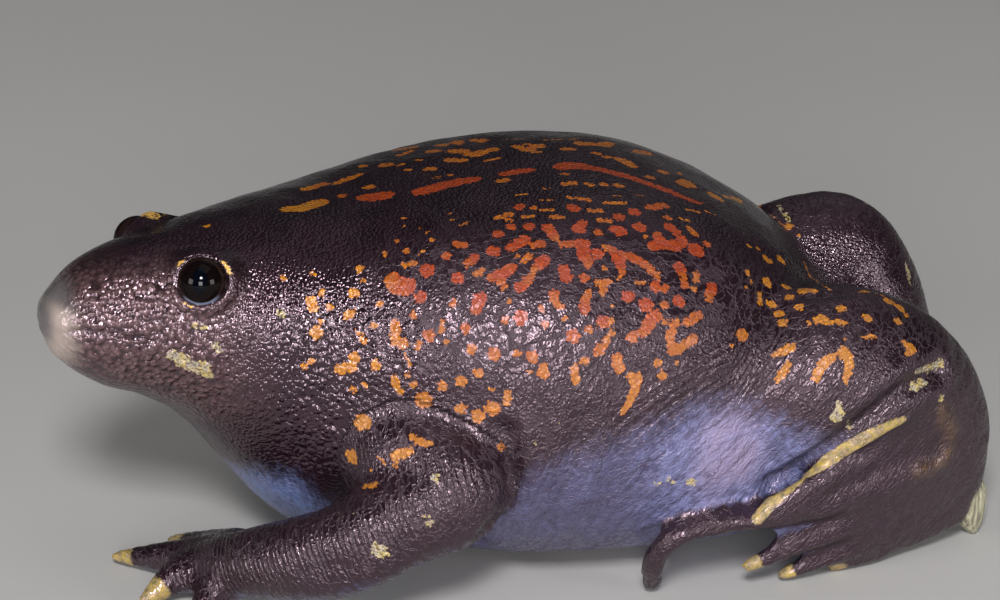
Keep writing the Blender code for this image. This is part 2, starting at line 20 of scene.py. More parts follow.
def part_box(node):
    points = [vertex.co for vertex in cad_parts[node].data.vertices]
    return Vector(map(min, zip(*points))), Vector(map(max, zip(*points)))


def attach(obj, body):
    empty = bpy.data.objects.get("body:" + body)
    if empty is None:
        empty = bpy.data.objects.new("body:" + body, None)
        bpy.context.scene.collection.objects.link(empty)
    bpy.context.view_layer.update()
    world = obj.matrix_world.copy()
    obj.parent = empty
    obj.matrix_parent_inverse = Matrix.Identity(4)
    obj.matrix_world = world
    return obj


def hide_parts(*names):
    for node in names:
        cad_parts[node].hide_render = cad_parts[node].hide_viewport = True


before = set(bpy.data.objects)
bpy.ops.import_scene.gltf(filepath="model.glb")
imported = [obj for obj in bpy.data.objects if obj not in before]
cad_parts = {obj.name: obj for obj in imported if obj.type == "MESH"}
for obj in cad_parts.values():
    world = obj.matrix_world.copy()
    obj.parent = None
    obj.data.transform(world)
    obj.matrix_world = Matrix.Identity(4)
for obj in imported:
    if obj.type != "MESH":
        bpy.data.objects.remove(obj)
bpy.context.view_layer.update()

# The view of the toad: level with its left side, a little behind the shoulder and from above.
# Places in the picture are counted in pixels of a 1000 by 600 picture, from its upper left corner,
# and they say where folds and markings lie on the near side.
MM = 0.001
VIEW_AZIMUTH = math.radians(-10.0)
VIEW_HEIGHT = math.radians(22.0)
VIEW_DISTANCE = 370.0
PIXELS_PER_MM = 10.0
PICTURE_WIDTH, MIDDLE_X, MIDDLE_Y = 1000.0, 500.0, 300.0
LOOK_AT = np.array([-6.6, 0.0, 24.4])

view_back = np.array(
    [
        math.sin(VIEW_AZIMUTH) * math.cos(VIEW_HEIGHT),
        -math.cos(VIEW_AZIMUTH) * math.cos(VIEW_HEIGHT),
        math.sin(VIEW_HEIGHT),
    ]
)
view_right = np.array([math.cos(VIEW_AZIMUTH), math.sin(VIEW_AZIMUTH), 0.0])
view_up = np.cross(view_back, view_right)
view_from = LOOK_AT + view_back * VIEW_DISTANCE


def in_picture(points):
    """Where points of the toad come to lie in the picture."""
    away = np.asarray(points, float).reshape(-1, 3) - LOOK_AT
    scale = PIXELS_PER_MM * VIEW_DISTANCE / (VIEW_DISTANCE - away @ view_back)
    return MIDDLE_X + scale * (away @ view_right), MIDDLE_Y - scale * (away @ view_up)


def picture_ray(px, py):
    """Direction from the camera through a place in the picture."""
    aim = (px - MIDDLE_X) / PIXELS_PER_MM * view_right + (MIDDLE_Y - py) / PIXELS_PER_MM * view_up
    ray = aim - view_back * VIEW_DISTANCE
    return ray / np.linalg.norm(ray)


# The skin is moist, elastic and loose, one unbroken surface from the snout to the toes. Its form is a
# loft of the trunk and head, with limbs and digits laid into it as rows of balls and webs between the
# digits, all melted together and then worked over like clay.
TRUNK = (
    # x, top, belly, half width, height of the widest point, squareness of the back
    (-53.3, 31.5, 26.2, 3.2, 28.8, 2.2),
    (-51.0, 33.6, 23.9, 4.9, 28.9, 2.2),
    (-48.5, 34.8, 22.1, 6.3, 28.7, 2.2),
    (-45.0, 35.6, 20.6, 7.8, 28.4, 2.2),
    (-41.0, 36.0, 17.9, 9.4, 27.6, 2.2),
    (-36.0, 36.5, 12.4, 12.0, 25.6, 2.3),
    (-30.0, 36.8, 5.6, 15.6, 23.0, 2.5),
    (-24.0, 36.9, 2.1, 19.0, 21.0, 2.7),
    (-16.0, 37.8, 0.8, 22.2, 19.4, 2.95),
    (-8.0, 38.4, -0.4, 24.2, 18.4, 3.0),
    (0.0, 38.7, -0.7, 25.0, 17.8, 2.8),
    (8.0, 37.6, -0.7, 24.5, 17.2, 2.65),
    (16.0, 34.2, -0.5, 22.2, 16.2, 2.5),
    (22.0, 30.2, 0.0, 19.0, 14.8, 2.3),
    (27.5, 24.2, 1.0, 14.8, 12.6, 2.2),
    (31.5, 18.6, 2.4, 10.4, 10.4, 2.1),
    (34.2, 13.6, 4.0, 6.2, 8.8, 2.0),
    (35.6, 10.6, 6.0, 2.6, 8.2, 2.0),
)
BELLY_SQUARENESS = 1.9
SNOUT_BALL = (-50.4, 0.0, 29.4, 3.8)
BEND_FROM, BEND_LENGTH, BEND_ANGLE = -8.0, 26.0, math.radians(18.0)
HEAD_ROLL, ROLL_HEIGHT = math.radians(4.0), 27.0
EYE_CENTRE = (-40.55, 7.9, 33.15)
EYE_RADIUS = 2.35
EYE_FORWARD, EYE_UP = math.radians(28.0), math.radians(20.0)
BROW_RADIUS, BROW_SUNK = 2.8, 1.0

LEFT_ARM = (
    # x, y, z, radius
    (-21.0, -11.0, 18.0, 6.6),
    (-18.2, -18.0, 16.8, 6.2),
    (-15.2, -22.8, 14.6, 5.3),
    (-20.4, -23.3, 12.2, 4.7),
    (-27.0, -21.8, 8.9, 4.1),
    (-31.5, -19.0, 6.9, 3.7),
    (-35.0, -15.4, 5.0, 3.2),
    (-36.8, -13.2, 4.0, 2.8),
)
RIGHT_ARM = (
    (-18.0, 10.0, 18.0, 6.5),
    (-13.6, 17.0, 16.6, 6.2),
    (-8.6, 21.8, 13.8, 5.4),
    (-12.0, 22.4, 10.2, 4.8),
    (-15.4, 20.8, 7.4, 4.1),
    (-18.0, 18.6, 5.6, 3.6),
    (-20.2, 16.0, 4.4, 3.0),
    (-21.4, 14.0, 3.6, 2.7),
)
LEFT_FINGERS = (
    ((-34.6, -10.6, 3.8, 2.7), (-37.2, -5.6, 2.4, 1.8), (-40.2, -0.8, 1.0, 0.9)),
    ((-35.6, -12.0, 3.9, 2.9), (-40.0, -8.2, 2.6, 2.0), (-43.2, -5.6, 1.7, 1.4), (-46.4, -3.4, 0.9, 0.8)),
    ((-36.0, -13.4, 3.9, 2.9), (-40.4, -12.0, 2.6, 2.0), (-44.4, -14.0, 0.9, 0.9)),
    ((-35.4, -14.8, 3.8, 2.7), (-38.2, -17.0, 2.4, 1.7), (-40.2, -20.4, 0.9, 0.9)),
)
RIGHT_FINGERS = (
    ((-20.6, 12.8, 3.6, 2.6), (-21.6, 8.6, 2.2, 1.6), (-22.0, 4.8, 0.9, 0.9)),
    ((-21.2, 13.4, 3.6, 2.7), (-23.8, 10.6, 2.3, 1.7), (-27.2, 8.2, 0.9, 0.9)),
    ((-21.4, 14.2, 3.6, 2.7), (-24.6, 13.8, 2.3, 1.7), (-28.2, 14.2, 0.9, 0.9)),
    ((-21.0, 15.0, 3.6, 2.6), (-23.0, 17.2, 2.2, 1.6), (-24.6, 20.6, 0.9, 0.9)),
)
LEFT_LEG = (
    (8.0, -12.5, 18.5, 8.2),
    (16.0, -15.0, 19.6, 8.7),
    (23.5, -15.7, 20.8, 8.9),
    (29.0, -14.8, 19.6, 7.8),
    (33.2, -13.6, 16.6, 6.3),
    (35.8, -12.6, 12.2, 5.1),
    (36.4, -11.8, 8.0, 4.5),
)
RIGHT_LEG = (
    (10.0, 12.5, 17.0, 7.6),
    (18.6, 15.2, 17.0, 7.5),
    (26.4, 16.6, 18.8, 7.4),
    (32.6, 16.8, 19.9, 6.8),
    (34.8, 15.8, 16.6, 6.6),
    (36.8, 14.4, 11.4, 5.8),
    (37.4, 13.2, 7.6, 4.6),
)
TOES = (
    (
        (34.6, -15.6, 16.4, 3.0),
        (30.5, -19.2, 15.6, 2.2),
        (26.0, -21.4, 14.6, 1.6),
        (20.0, -23.2, 12.4, 1.3),
        (14.0, -24.0, 9.4, 0.95),
    ),
    (
        (36.0, -14.6, 12.4, 3.4),
        (29.0, -19.4, 11.6, 2.7),
        (22.0, -22.0, 10.4, 1.9),
        (16.0, -23.0, 9.4, 1.35),
        (10.0, -23.6, 9.0, 1.15),
        (6.2, -23.6, 8.2, 1.2),
        (4.8, -22.6, 6.0, 1.3),
        (4.9, -20.6, 3.4, 1.3),
        (5.2, -18.8, 1.2, 1.2),
    ),
    ((36.4, -13.8, 9.0, 3.2), (29.0, -18.4, 8.0, 2.4), (21.5, -20.6, 6.0, 1.5), (14.4, -20.6, 3.0, 0.95)),
    ((36.6, -13.0, 6.4, 3.0), (29.5, -17.2, 4.8, 2.0), (23.4, -18.8, 2.8, 1.3), (18.2, -19.0, 0.9, 0.9)),
    ((36.8, -12.4, 4.2, 2.8), (31.4, -15.2, 2.6, 1.8), (27.4, -16.8, 1.4, 1.2), (23.8, -17.4, 0.7, 0.85)),
)
RIGHT_FOOT_SHIFT = (0.6, 1.6, 0.0)
TOE_WEBS = ((0.92, 0.62), (0.62, 0.92), (0.86, 0.9), (0.9, 0.9))
FINGER_WEBS = ((0.62, 0.5), (0.5, 0.6), (0.6, 0.62))
WEB_THICK, WEB_SAG, WEB_STEPS = 1.1, 0.12, 200
WEB_SPACING = 0.36 * WEB_THICK
BEAD_SPACING = 0.3  # of a limb's thinnest radius
FINE_BALL = 3.0  # balls wider than this radius get finer faces
LOFT_STEPS, LOFT_SIDES = 150, 96
SKIN_VOXEL, SKIN_ROUNDS, PULL = 0.62, 5, 0.6


def smooth_values(table, xs):
    """Smooth curve through a table's rows, read at xs along its first column."""
    table = np.asarray(table, float)
    knots = table[:, 0]
    slopes = np.gradient(table[:, 1:], knots, axis=0)
    xs = np.clip(np.asarray(xs, float), knots[0], knots[-1])
    i = np.clip(np.searchsorted(knots, xs) - 1, 0, len(knots) - 2)
    span = (knots[i + 1] - knots[i])[:, None]
    t = (xs - knots[i])[:, None] / span
    start = (2 * t**3 - 3 * t**2 + 1) * table[i, 1:] + (t**3 - 2 * t**2 + t) * span * slopes[i]
    end = (3 * t**2 - 2 * t**3) * table[i + 1, 1:] + (t**3 - t**2) * span * slopes[i + 1]
    return start + end


def bent(points):
    """Points laid out on the straight body, after its front bends left and rolls a little right."""
    points = np.array(points, float).reshape(-1, 3)
    along = np.maximum(BEND_FROM - points[:, 0], 0.0)
    radius = BEND_LENGTH / BEND_ANGLE
    turn = np.minimum(along, BEND_LENGTH) / radius
    past = np.maximum(along - BEND_LENGTH, 0.0)
    ahead = radius * np.sin(turn) + past * np.cos(turn)
    aside = radius * (1 - np.cos(turn)) + past * np.sin(turn)
    roll = HEAD_ROLL * turn / BEND_ANGLE
    across = points[:, 1] * np.cos(roll) + (points[:, 2] - ROLL_HEIGHT) * np.sin(roll)
    rise = (points[:, 2] - ROLL_HEIGHT) * np.cos(roll) - points[:, 1] * np.sin(roll)
    x = np.where(along > 0, BEND_FROM - ahead, points[:, 0]) - across * np.sin(turn)
    return np.stack([x, across * np.cos(turn) - aside, rise + ROLL_HEIGHT], 1)


def straightened(points):
    """The same points back on the straight body."""
    points = np.array(points, float).reshape(-1, 3)
    radius = BEND_LENGTH / BEND_ANGLE
    turn = np.clip(np.arctan2(BEND_FROM - points[:, 0], radius + points[:, 1]), 0.0, BEND_ANGLE)
    mid_x = BEND_FROM - radius * np.sin(turn)
    mid_y = -radius * (1 - np.cos(turn))
    ahead = -(points[:, 0] - mid_x) * np.cos(turn) - (points[:, 1] - mid_y) * np.sin(turn)
    across = -(points[:, 0] - mid_x) * np.sin(turn) + (points[:, 1] - mid_y) * np.cos(turn)
    x = BEND_FROM - radius * turn - ahead
    roll = HEAD_ROLL * turn / BEND_ANGLE
    rise = points[:, 2] - ROLL_HEIGHT
    y = across * np.cos(roll) - rise * np.sin(roll)
    return np.stack([x, y, rise * np.cos(roll) + across * np.sin(roll) + ROLL_HEIGHT], 1)


def eye_place(side):
    """Centre of an eye and the way it looks."""
    x, out, z = EYE_CENTRE
    look = Vector((-math.sin(EYE_FORWARD), side * math.cos(EYE_FORWARD), math.tan(EYE_UP))).normalized()
    centre = Vector(bent((x, side * out, z))[0])
    ahead = Vector(bent((x + look.x, side * out + look.y, z + look.z))[0])
    return centre, (ahead - centre).normalized()


def limb_path(points, steps):
    """Evenly read positions and radii of a limb's smooth path."""
    points = np.asarray(points, float)
    length = np.r_[0.0, np.cumsum(np.linalg.norm(np.diff(points[:, :3], axis=0), axis=1))]
    return smooth_values(np.column_stack([length, points]), np.linspace(0.0, length[-1], steps))


def limb_beads(points):
    """Balls set closely along a limb."""
    length = np.linalg.norm(np.diff(np.asarray(points)[:, :3], axis=0), axis=1).sum()
    return limb_path(points, max(3, int(length / (BEAD_SPACING * min(p[3] for p in points)))))


def web_beads(one, other, reach):
    """Small balls that fill the web between two digits, up to a share of each one's length."""
    a, b = limb_path(one, WEB_STEPS)[:, :3], limb_path(other, WEB_STEPS)[:, :3]
    last = WEB_STEPS - 1
    root = (a[0] + b[0]) / 2
    beads = []
    for t in np.linspace(0.0, 1.0, int(reach[0] * np.linalg.norm(a[-1] - a[0]) / WEB_SPACING)):
        start, end = a[int(last * reach[0] * t)], b[int(last * reach[1] * t)]
        for s in np.linspace(0.0, 1.0, max(2, int(np.linalg.norm(end - start) / WEB_SPACING))):
            sag = WEB_SAG * math.sin(math.pi * s) * t
            beads.append((*((start * (1 - s) + end * s) * (1 - sag) + root * sag), WEB_THICK / 2))
    return np.array(beads)


def ball_mesh(beads):
    """Corners and faces of all the balls."""
    corners, faces = [], []
    wide = beads[:, 3] > FINE_BALL
    for fine, chosen in ((3, beads[wide]), (2, beads[~wide])):
        bm = bmesh.new()
        bmesh.ops.create_icosphere(bm, subdivisions=fine, radius=1.0)
        unit = np.array([v.co[:] for v in bm.verts])
        triangles = np.array([[v.index for v in f.verts] for f in bm.faces])
        bm.free()
        for bead in chosen:
            faces.append(triangles + sum(len(c) for c in corners))
            corners.append(bead[:3] + unit * bead[3])
    return np.concatenate(corners), np.concatenate(faces)


def trunk_loft():
    """Corners and faces of the trunk and head, bent as they lie."""
    xs = np.linspace(TRUNK[0][0], TRUNK[-1][0], LOFT_STEPS)
    rows = smooth_values(TRUNK, xs)
    angles = np.linspace(0.0, 2 * math.pi, LOFT_SIDES, endpoint=False)
    side, rise = np.cos(angles), np.sin(angles)
    corners = []
    for x, (top, belly, wide, widest, squareness) in zip(xs, rows):
        power = np.where(rise > 0, 2 / squareness, 2 / BELLY_SQUARENESS)
        reach = np.where(rise > 0, top - widest, widest - belly)
        y = wide * np.sign(side) * np.abs(side) ** power
        z = widest + reach * np.sign(rise) * np.abs(rise) ** power
        corners.append(bent(np.stack([np.full_like(y, x), y, z], 1)))
    faces = []
    for ring in range(0, (LOFT_STEPS - 1) * LOFT_SIDES, LOFT_SIDES):
        for k in range(LOFT_SIDES):
            n = (k + 1) % LOFT_SIDES
            faces.append((ring + n, ring + k, ring + LOFT_SIDES + k, ring + LOFT_SIDES + n))
    faces.append(tuple(range(LOFT_SIDES)))
    faces.append(tuple(reversed(range((LOFT_STEPS - 1) * LOFT_SIDES, LOFT_STEPS * LOFT_SIDES))))
    return np.concatenate(corners), faces


mirrored_toes = [
    tuple((x + RIGHT_FOOT_SHIFT[0], RIGHT_FOOT_SHIFT[1] - y, z, r) for x, y, z, r in toe) for toe in TOES
]
beads = [limb_beads(path) for path in (LEFT_ARM, RIGHT_ARM, LEFT_LEG, RIGHT_LEG)]
for digits, webs in (
    (LEFT_FINGERS, FINGER_WEBS),
    (RIGHT_FINGERS, FINGER_WEBS),
    (TOES, TOE_WEBS),
    (mirrored_toes, TOE_WEBS),
):
    beads += [limb_beads(path) for path in digits]
    beads += [web_beads(one, other, reach) for one, other, reach in zip(digits, digits[1:], webs)]
beads.append(np.array([(*bent(SNOUT_BALL[:3])[0], SNOUT_BALL[3])]))
for side in (-1, 1):
    centre, look = eye_place(side)
    beads.append(np.array([(*(centre - look * BROW_SUNK), BROW_RADIUS)]))
ball_corners, ball_faces = ball_mesh(np.concatenate(beads))
loft_corners, loft_faces = trunk_loft()
clay = bpy.data.meshes.new("toad_skin")
clay.from_pydata(
    (np.concatenate([ball_corners, loft_corners]) * MM).tolist(),
    [],
    ball_faces.tolist() + [[i + len(ball_corners) for i in face] for face in loft_faces],
)
skin = bpy.data.objects.new("toad_skin", clay)
bpy.context.scene.collection.objects.link(skin)
melt = skin.modifiers.new("melt", "REMESH")
melt.mode = "VOXEL"
melt.voxel_size = SKIN_VOXEL * MM
bpy.context.view_layer.update()
melted = bpy.data.meshes.new_from_object(skin.evaluated_get(bpy.context.evaluated_depsgraph_get()))
skin.modifiers.clear()
skin.data = melted
melted.name = "toad_skin"
bpy.data.meshes.remove(clay)

# The face has finer forms than the rest, and the near side finer markings, so their faces are
# split once.
FACE_FROM, FACE_ABOVE = -35.0, 12.0
MARKED_FROM, MARKED_TO, MARKED_BELOW = 268.0, 965.0, 500.0
FACES_CAMERA = 0.08
bm = bmesh.new()
bm.from_mesh(skin.data)
corners = np.array([v.co[:] for v in bm.verts]) / MM
facing = np.array([v.normal[:] for v in bm.verts]) @ view_back
px, py = in_picture(corners)
chosen = (straightened(corners)[:, 0] < FACE_FROM) & (corners[:, 2] > FACE_ABOVE)
chosen |= (facing > FACES_CAMERA) & (px > MARKED_FROM) & (px < MARKED_TO) & (py < MARKED_BELOW)
edges = [e for e in bm.edges if chosen[e.verts[0].index] and chosen[e.verts[1].index]]
bmesh.ops.subdivide_edges(bm, edges=edges, cuts=1, use_grid_fill=True)
bm.to_mesh(skin.data)
bm.free()

count = len(skin.data.vertices)
shape = np.empty(count * 3)
skin.data.vertices.foreach_get("co", shape)
shape = shape.reshape(-1, 3) / MM
edge_ends = np.empty(len(skin.data.edges) * 2, int)
skin.data.edges.foreach_get("vertices", edge_ends)
edge_ends = edge_ends.reshape(-1, 2)
neighbours = np.bincount(edge_ends.ravel(), minlength=count).astype(float)


def relaxed(points, weight, rounds):
    """Clay smoothed towards its neighbours, by a weight from 0 to 1 at each point."""
    points = points.copy()
    for _ in range(rounds):
        total = np.zeros_like(points)
        for axis in range(3):
            total[:, axis] += np.bincount(edge_ends[:, 0], points[edge_ends[:, 1], axis], count)
            total[:, axis] += np.bincount(edge_ends[:, 1], points[edge_ends[:, 0], axis], count)
        points += (total / neighbours[:, None] - points) * np.reshape(weight, (-1, 1)) * PULL
    return points


def normals_of(points):
    """Ways the skin faces at its points, once they lie there."""
    skin.data.vertices.foreach_set("co", (points * MM).ravel())
    skin.data.update()
    found = np.empty(count * 3)
    skin.data.vertex_normals.foreach_get("vector", found)
    return found.reshape(-1, 3)


def ramp(value, start, end):
    """0 at start, 1 at end, smooth between them."""
    t = np.clip((value - start) / (end - start), 0.0, 1.0)
    return t * t * (3 - 2 * t)


def around(centre, reach):
    """1 near a place on the skin, 0 beyond its reach."""
    return 1 - ramp(np.linalg.norm(shape - centre, axis=1), 0.5 * reach, reach)


shape = relaxed(shape, np.ones(count), SKIN_ROUNDS)

# The near flank and the front of the thigh run into each other without a step.
SEAM_CENTRE, SEAM_REACH, SEAM_ROUNDS = (12.0, -21.5, 20.0), 9.0, 60
shape = relaxed(shape, around(SEAM_CENTRE, SEAM_REACH), SEAM_ROUNDS)

# The soles are padded, so the toes' rays barely show on the side of the foot, and the skin of the
# neck runs on over the front of the shoulder.
PADS = ((30.5, -18.5, 9.0), (31.1, 20.1, 9.0), (-24.8, -19.0, 18.0), (-22.0, 18.0, 17.0))
PAD_REACH, PAD_ROUNDS = 9.0, 40
for centre in PADS:
    shape = relaxed(shape, around(centre, PAD_REACH), PAD_ROUNDS)

# Each eye bulges from a round opening, inside a raised rim of lid with a groove behind it. The rim is
# lower towards the crown, and gold in short arcs: middle and spread in degrees, width, way out.
LID_OPENING, LID_RIM, LID_FOOT, LID_LONG, LID_DEEP = 2.22, 2.52, 4.2, 1.12, 2.2
LID_HEIGHT, LID_DROP, LID_FALL, LID_FLAT, LID_SHADED = 0.85, 0.22, 0.5, 0.1, (0.2, 0.05)
CROWN_WAY, CROWN_DROP = (-0.5, 0.6, 0.8), 0.75
GOLD_ARCS = ((150.0, 24.0, 0.16, 0.0), (42.0, 13.0, 0.16, 0.0), (-62.0, 12.0, 0.12, 0.0))
FAR_GOLD_ARCS = ((150.0, 24.0, 0.3, 0.1), (112.0, 30.0, 0.45, 0.4), (-62.0, 12.0, 0.12, 0.0))
SOCKET_FLOOR = 0.4
LID_GROOVE, LID_GROOVE_AT, LID_GROOVE_WIDTH = 0.12, 3.3, 0.3
lid_edge, lid_inside_shade = np.zeros(count), np.zeros(count)
for side in (-1, 1):
    centre, look = (np.array(v) for v in eye_place(side))
    rise_way = np.cross(look, np.cross((0.0, 0.0, 1.0), look))
    rise_way /= np.linalg.norm(rise_way)
    back_way = np.cross(rise_way, look) * side
    away = shape - centre
    height = away @ look
    radius = np.hypot(away @ rise_way, away @ back_way / LID_LONG)
    near = (radius < LID_FOOT) & (height > -LID_DEEP)
    crownward = np.cross(look, np.cross(np.multiply(CROWN_WAY, (1, -side, 1)), look))
    crownward /= np.linalg.norm(crownward)
    towards_crown = ramp(away @ crownward / np.maximum(radius, 0.1), -0.1, 1.0)
    rim_height = LID_HEIGHT - CROWN_DROP * towards_crown
    inner = rim_height - LID_DROP * ((LID_RIM - radius) / (LID_RIM - LID_OPENING)) ** 2
    outer = rim_height - LID_FALL * np.maximum(radius - LID_RIM, 0.0) ** 1.5
    wanted = np.where(radius < LID_RIM, np.maximum(inner, SOCKET_FLOOR), outer)
    keep = ramp(radius, LID_RIM + LID_FLAT, LID_FOOT)
    wanted = wanted * (1 - keep) + height * keep
    wanted -= LID_GROOVE * np.exp(-(((radius - LID_GROOVE_AT) / LID_GROOVE_WIDTH) ** 2))
    shape[near] += (wanted - height)[near, None] * look
    # Painted shade inside the rim, kept for the skin's colour.
    inside = 1 - ramp(radius, LID_RIM - LID_SHADED[0], LID_RIM - LID_SHADED[1])
    lid_inside_shade[near] = np.maximum(lid_inside_shade, inside)[near]
    turn = np.degrees(np.arctan2(away @ rise_way, away @ back_way))
    for middle, spread, width, outward in GOLD_ARCS if side < 0 else FAR_GOLD_ARCS:
        arc = np.exp(-(((turn - middle) / spread) ** 4))
        rim = np.exp(-(((radius - LID_RIM - outward) / width) ** 2)) * arc
        lid_edge[near] = np.maximum(lid_edge, rim)[near]

# The mouth is a short slit under the snout, and the nostrils are small pits above it.
MOUTH_LINE = (
    (-54.6, 29.0), (-53.1, 29.1), (-51.4, 29.3), (-49.7, 29.2), (-48.0, 28.7), (-46.0, 28.0),
    (-44.6, 27.4),
)
MOUTH_DEPTH, MOUTH_WIDTH, MOUTH_SHADE = 0.3, 0.2, 1.6
LIP_SWELL, LIP_AT, LIP_WIDTH = 0.1, 0.6, 0.5
MOUTH_CORNER, MOUTH_FRONT, FRONT_SHARE = (-46.4, -44.8), (-53.4, -51.6), 0.25
NOSTRIL_PLACE, NOSTRIL_RADIUS, NOSTRIL_DEPTH, NOSTRIL_SHADE = (-45.0, 4.0, 34.8), 0.32, 0.35, 1.3
laid_out = straightened(shape)
normals = normals_of(shape)
mouth = np.array(sorted(MOUTH_LINE))
above_lips = laid_out[:, 2] - np.interp(laid_out[:, 0], mouth[:, 0], mouth[:, 1])
mouth_reach = 1 - ramp(laid_out[:, 0], *MOUTH_CORNER)
mouth_reach *= FRONT_SHARE + (1 - FRONT_SHARE) * ramp(laid_out[:, 0], *MOUTH_FRONT)
slit = MOUTH_DEPTH * np.exp(-((above_lips / MOUTH_WIDTH) ** 2))
swell = LIP_SWELL * np.exp(-(((np.abs(above_lips) - LIP_AT) / LIP_WIDTH) ** 2))
shape += normals * ((swell - slit) * mouth_reach)[:, None]
# Painted shade along the slit of the mouth, inside the rims of the lids and in the nostrils' pits.
painted_shade = np.exp(-((above_lips / (MOUTH_SHADE * MOUTH_WIDTH)) ** 2)) * mouth_reach
painted_shade = np.maximum(painted_shade, lid_inside_shade)
for side in (-1, 1):
    x, out, z = NOSTRIL_PLACE
    pit = np.linalg.norm(laid_out - (x, side * out, z), axis=1)
    shape -= normals * (NOSTRIL_DEPTH * np.exp(-((pit / NOSTRIL_RADIUS) ** 2)))[:, None]
    painted_shade = np.maximum(painted_shade, np.exp(-((pit / (NOSTRIL_SHADE * NOSTRIL_RADIUS)) ** 2)))

# Folds and ridges of the near side, as lines in the picture: places, then width and depth in mm.
FOLDS = (
    (((505, 432), (510, 456), (511, 480), (500, 515), (478, 540)), 0.9, 0.5),
    (((770, 481), (810, 458), (850, 432), (905, 388), (938, 371)), 0.9, 0.8),
    (((800, 297), (838, 294)), 0.7, 0.25),
    (((400, 402), (455, 404), (490, 424)), 1.8, 0.15),
    (((628, 425), (618, 470), (590, 515)), 1.3, 0.22),
    (((668, 415), (655, 460), (630, 500)), 1.1, 0.2),
    (((585, 420), (572, 470), (548, 520)), 1.1, 0.2),
    (((700, 352), (742, 322), (768, 306)), 1.4, 0.25),
)
TOE_RIDGE = ((906, 418), (873, 434), (830, 458), (796, 481), (766, 505), (753, 523))
TOE_RIDGE_WIDTH, TOE_RIDGE_RISE = 0.55, 0.35
ARC_RIDGE = ((942, 410), (950, 432), (946, 455), (936, 465), (918, 472))
HEEL_ARC_WIDTH = 0.9
FOLD_BANK, FOLD_BANK_AT = 0.3, 2.2
FOLD_SHADED, FOLD_SHADE_WIDTH = 1.3, 0.9
THROAT_SAG, THROAT_AT, THROAT_LENGTH = 0.9, -31.5, 6.0


def skin_tree(points):
    return BVHTree.FromPolygons(points.tolist(), [tuple(p.vertices) for p in skin.data.polygons])


def traced(path, tree, spacing=3.0):
    """Places on the skin under a line in the picture: place, facing and the line's half width."""
    found = []
    for start, end in zip(path, path[1:]):
        steps = max(1, int(math.dist(start[:2], end[:2]) / spacing))
        for k in range(steps + 1):
            here = [a + (b - a) * k / steps for a, b in zip(start, end)]
            place, facing, _, _ = tree.ray_cast(Vector(view_from), Vector(picture_ray(here[0], here[1])))
            if place is not None:
                found.append((np.array(place), np.array(facing), here[2] if len(here) > 2 else 0.0))
    return found


def distance_to(places, points):
    """Distance of every point to the nearest of a few places."""
    best = np.full(len(points), np.inf)
    for place in places:
        best = np.minimum(best, ((points - place) ** 2).sum(1))
    return np.sqrt(best)


def other_side(places):
    """The same places on the toad's right side, before they are brought onto its skin."""
    return bent(straightened(places) * (1, -1, 1))


def on_both_sides(path, shift=(0.0, 0.0, 0.0)):
    """Places on the skin under a line in the picture, and the same on the right side."""
    hits = np.array([place for place, _, _ in traced(path, tree)])
    return hits, np.array([tree.find_nearest(Vector(p))[0][:] for p in other_side(hits) + shift])


tree = skin_tree(shape)
normals = normals_of(shape)
change = np.zeros(count)
for path, width, depth in FOLDS:
    for places in on_both_sides(path):
        distance = distance_to(places, shape)
        change -= depth * np.exp(-((distance / width) ** 2))
        change += FOLD_BANK * depth * np.exp(-(((distance - FOLD_BANK_AT * width) / width) ** 2))
        # Painted shade along each fold.
        shade = min(1.0, FOLD_SHADED * depth) * np.exp(-((distance / (FOLD_SHADE_WIDTH * width)) ** 2))
        painted_shade = np.maximum(painted_shade, shade)
heel_arc = np.zeros(count)
for path in (TOE_RIDGE, ARC_RIDGE):
    for places in on_both_sides(path, RIGHT_FOOT_SHIFT):
        distance = distance_to(places, shape)
        change += TOE_RIDGE_RISE * np.exp(-((distance / TOE_RIDGE_WIDTH) ** 2))
        if path is ARC_RIDGE:
            heel_arc = np.maximum(heel_arc, np.exp(-((distance / HEEL_ARC_WIDTH) ** 2)))
laid_out = straightened(shape)
sag = THROAT_SAG * np.exp(-(((laid_out[:, 0] - THROAT_AT) / THROAT_LENGTH) ** 2))
change += sag * ramp(-normals[:, 2], 0.0, 0.7)
shape += normals * change[:, None]

BALLS_ALONG = 24


def beside(paths):
    """Distance of every point of the skin outside the balls of a few limbs."""
    best = np.full(count, np.inf)
    for path in paths:
        for ball in limb_path(path, BALLS_ALONG):
            best = np.minimum(best, np.linalg.norm(shape - ball[:3], axis=1) - ball[3])
    return best


# Loose skin: soft lumps everywhere, and folds that run down the flanks and slant back over the
# thighs. The grain of the skin is the body's own length, sheared so that it runs across them.
SLANT = ((-60, -0.4), (-20, -0.3), (-12, 0.15), (0, 0.36), (12, 0.72), (40, 0.9))
LUMP_SIZE, LUMP_RISE = 3.4, 0.1
ARM_EDGE, FOOT_EDGE, FLOOR_EDGE = (0.2, 1.6), (0.2, 1.4), (1.0, 4.0)
LOOSE_FROM, LOOSE_SIDE = (-30.0, -18.0), (9.0, 17.0)
FOLD_SPACING, FOLD_LENGTH, FOLD_RISE = 1.7, 9.0, 0.1
slant = np.array(SLANT)
grain = shape.copy()
grain[:, 0] = shape[:, 0] - np.interp(shape[:, 0], slant[:, 0], slant[:, 1]) * shape[:, 2]
arms = 1 - ramp(beside((LEFT_ARM[1:], RIGHT_ARM[1:], *LEFT_FINGERS, *RIGHT_FINGERS)), *ARM_EDGE)
for side, limb in ((-1, LEFT_ARM), (1, RIGHT_ARM)):
    forearm = np.subtract(limb[-1][:3], limb[2][:3])
    here = (arms > 0.5) & (straightened(shape)[:, 1] * side > 0)
    grain[here, 0] = shape[here] @ (forearm / np.linalg.norm(forearm))
normals = normals_of(shape)
above_floor = ramp(shape[:, 2], *FLOOR_EDGE)
lumps = np.array([noise.noise(Vector(p)) for p in shape / LUMP_SIZE])
folded = np.array([noise.noise(Vector(p)) for p in grain / (FOLD_SPACING, FOLD_LENGTH, FOLD_LENGTH)])
laid_out = straightened(shape)
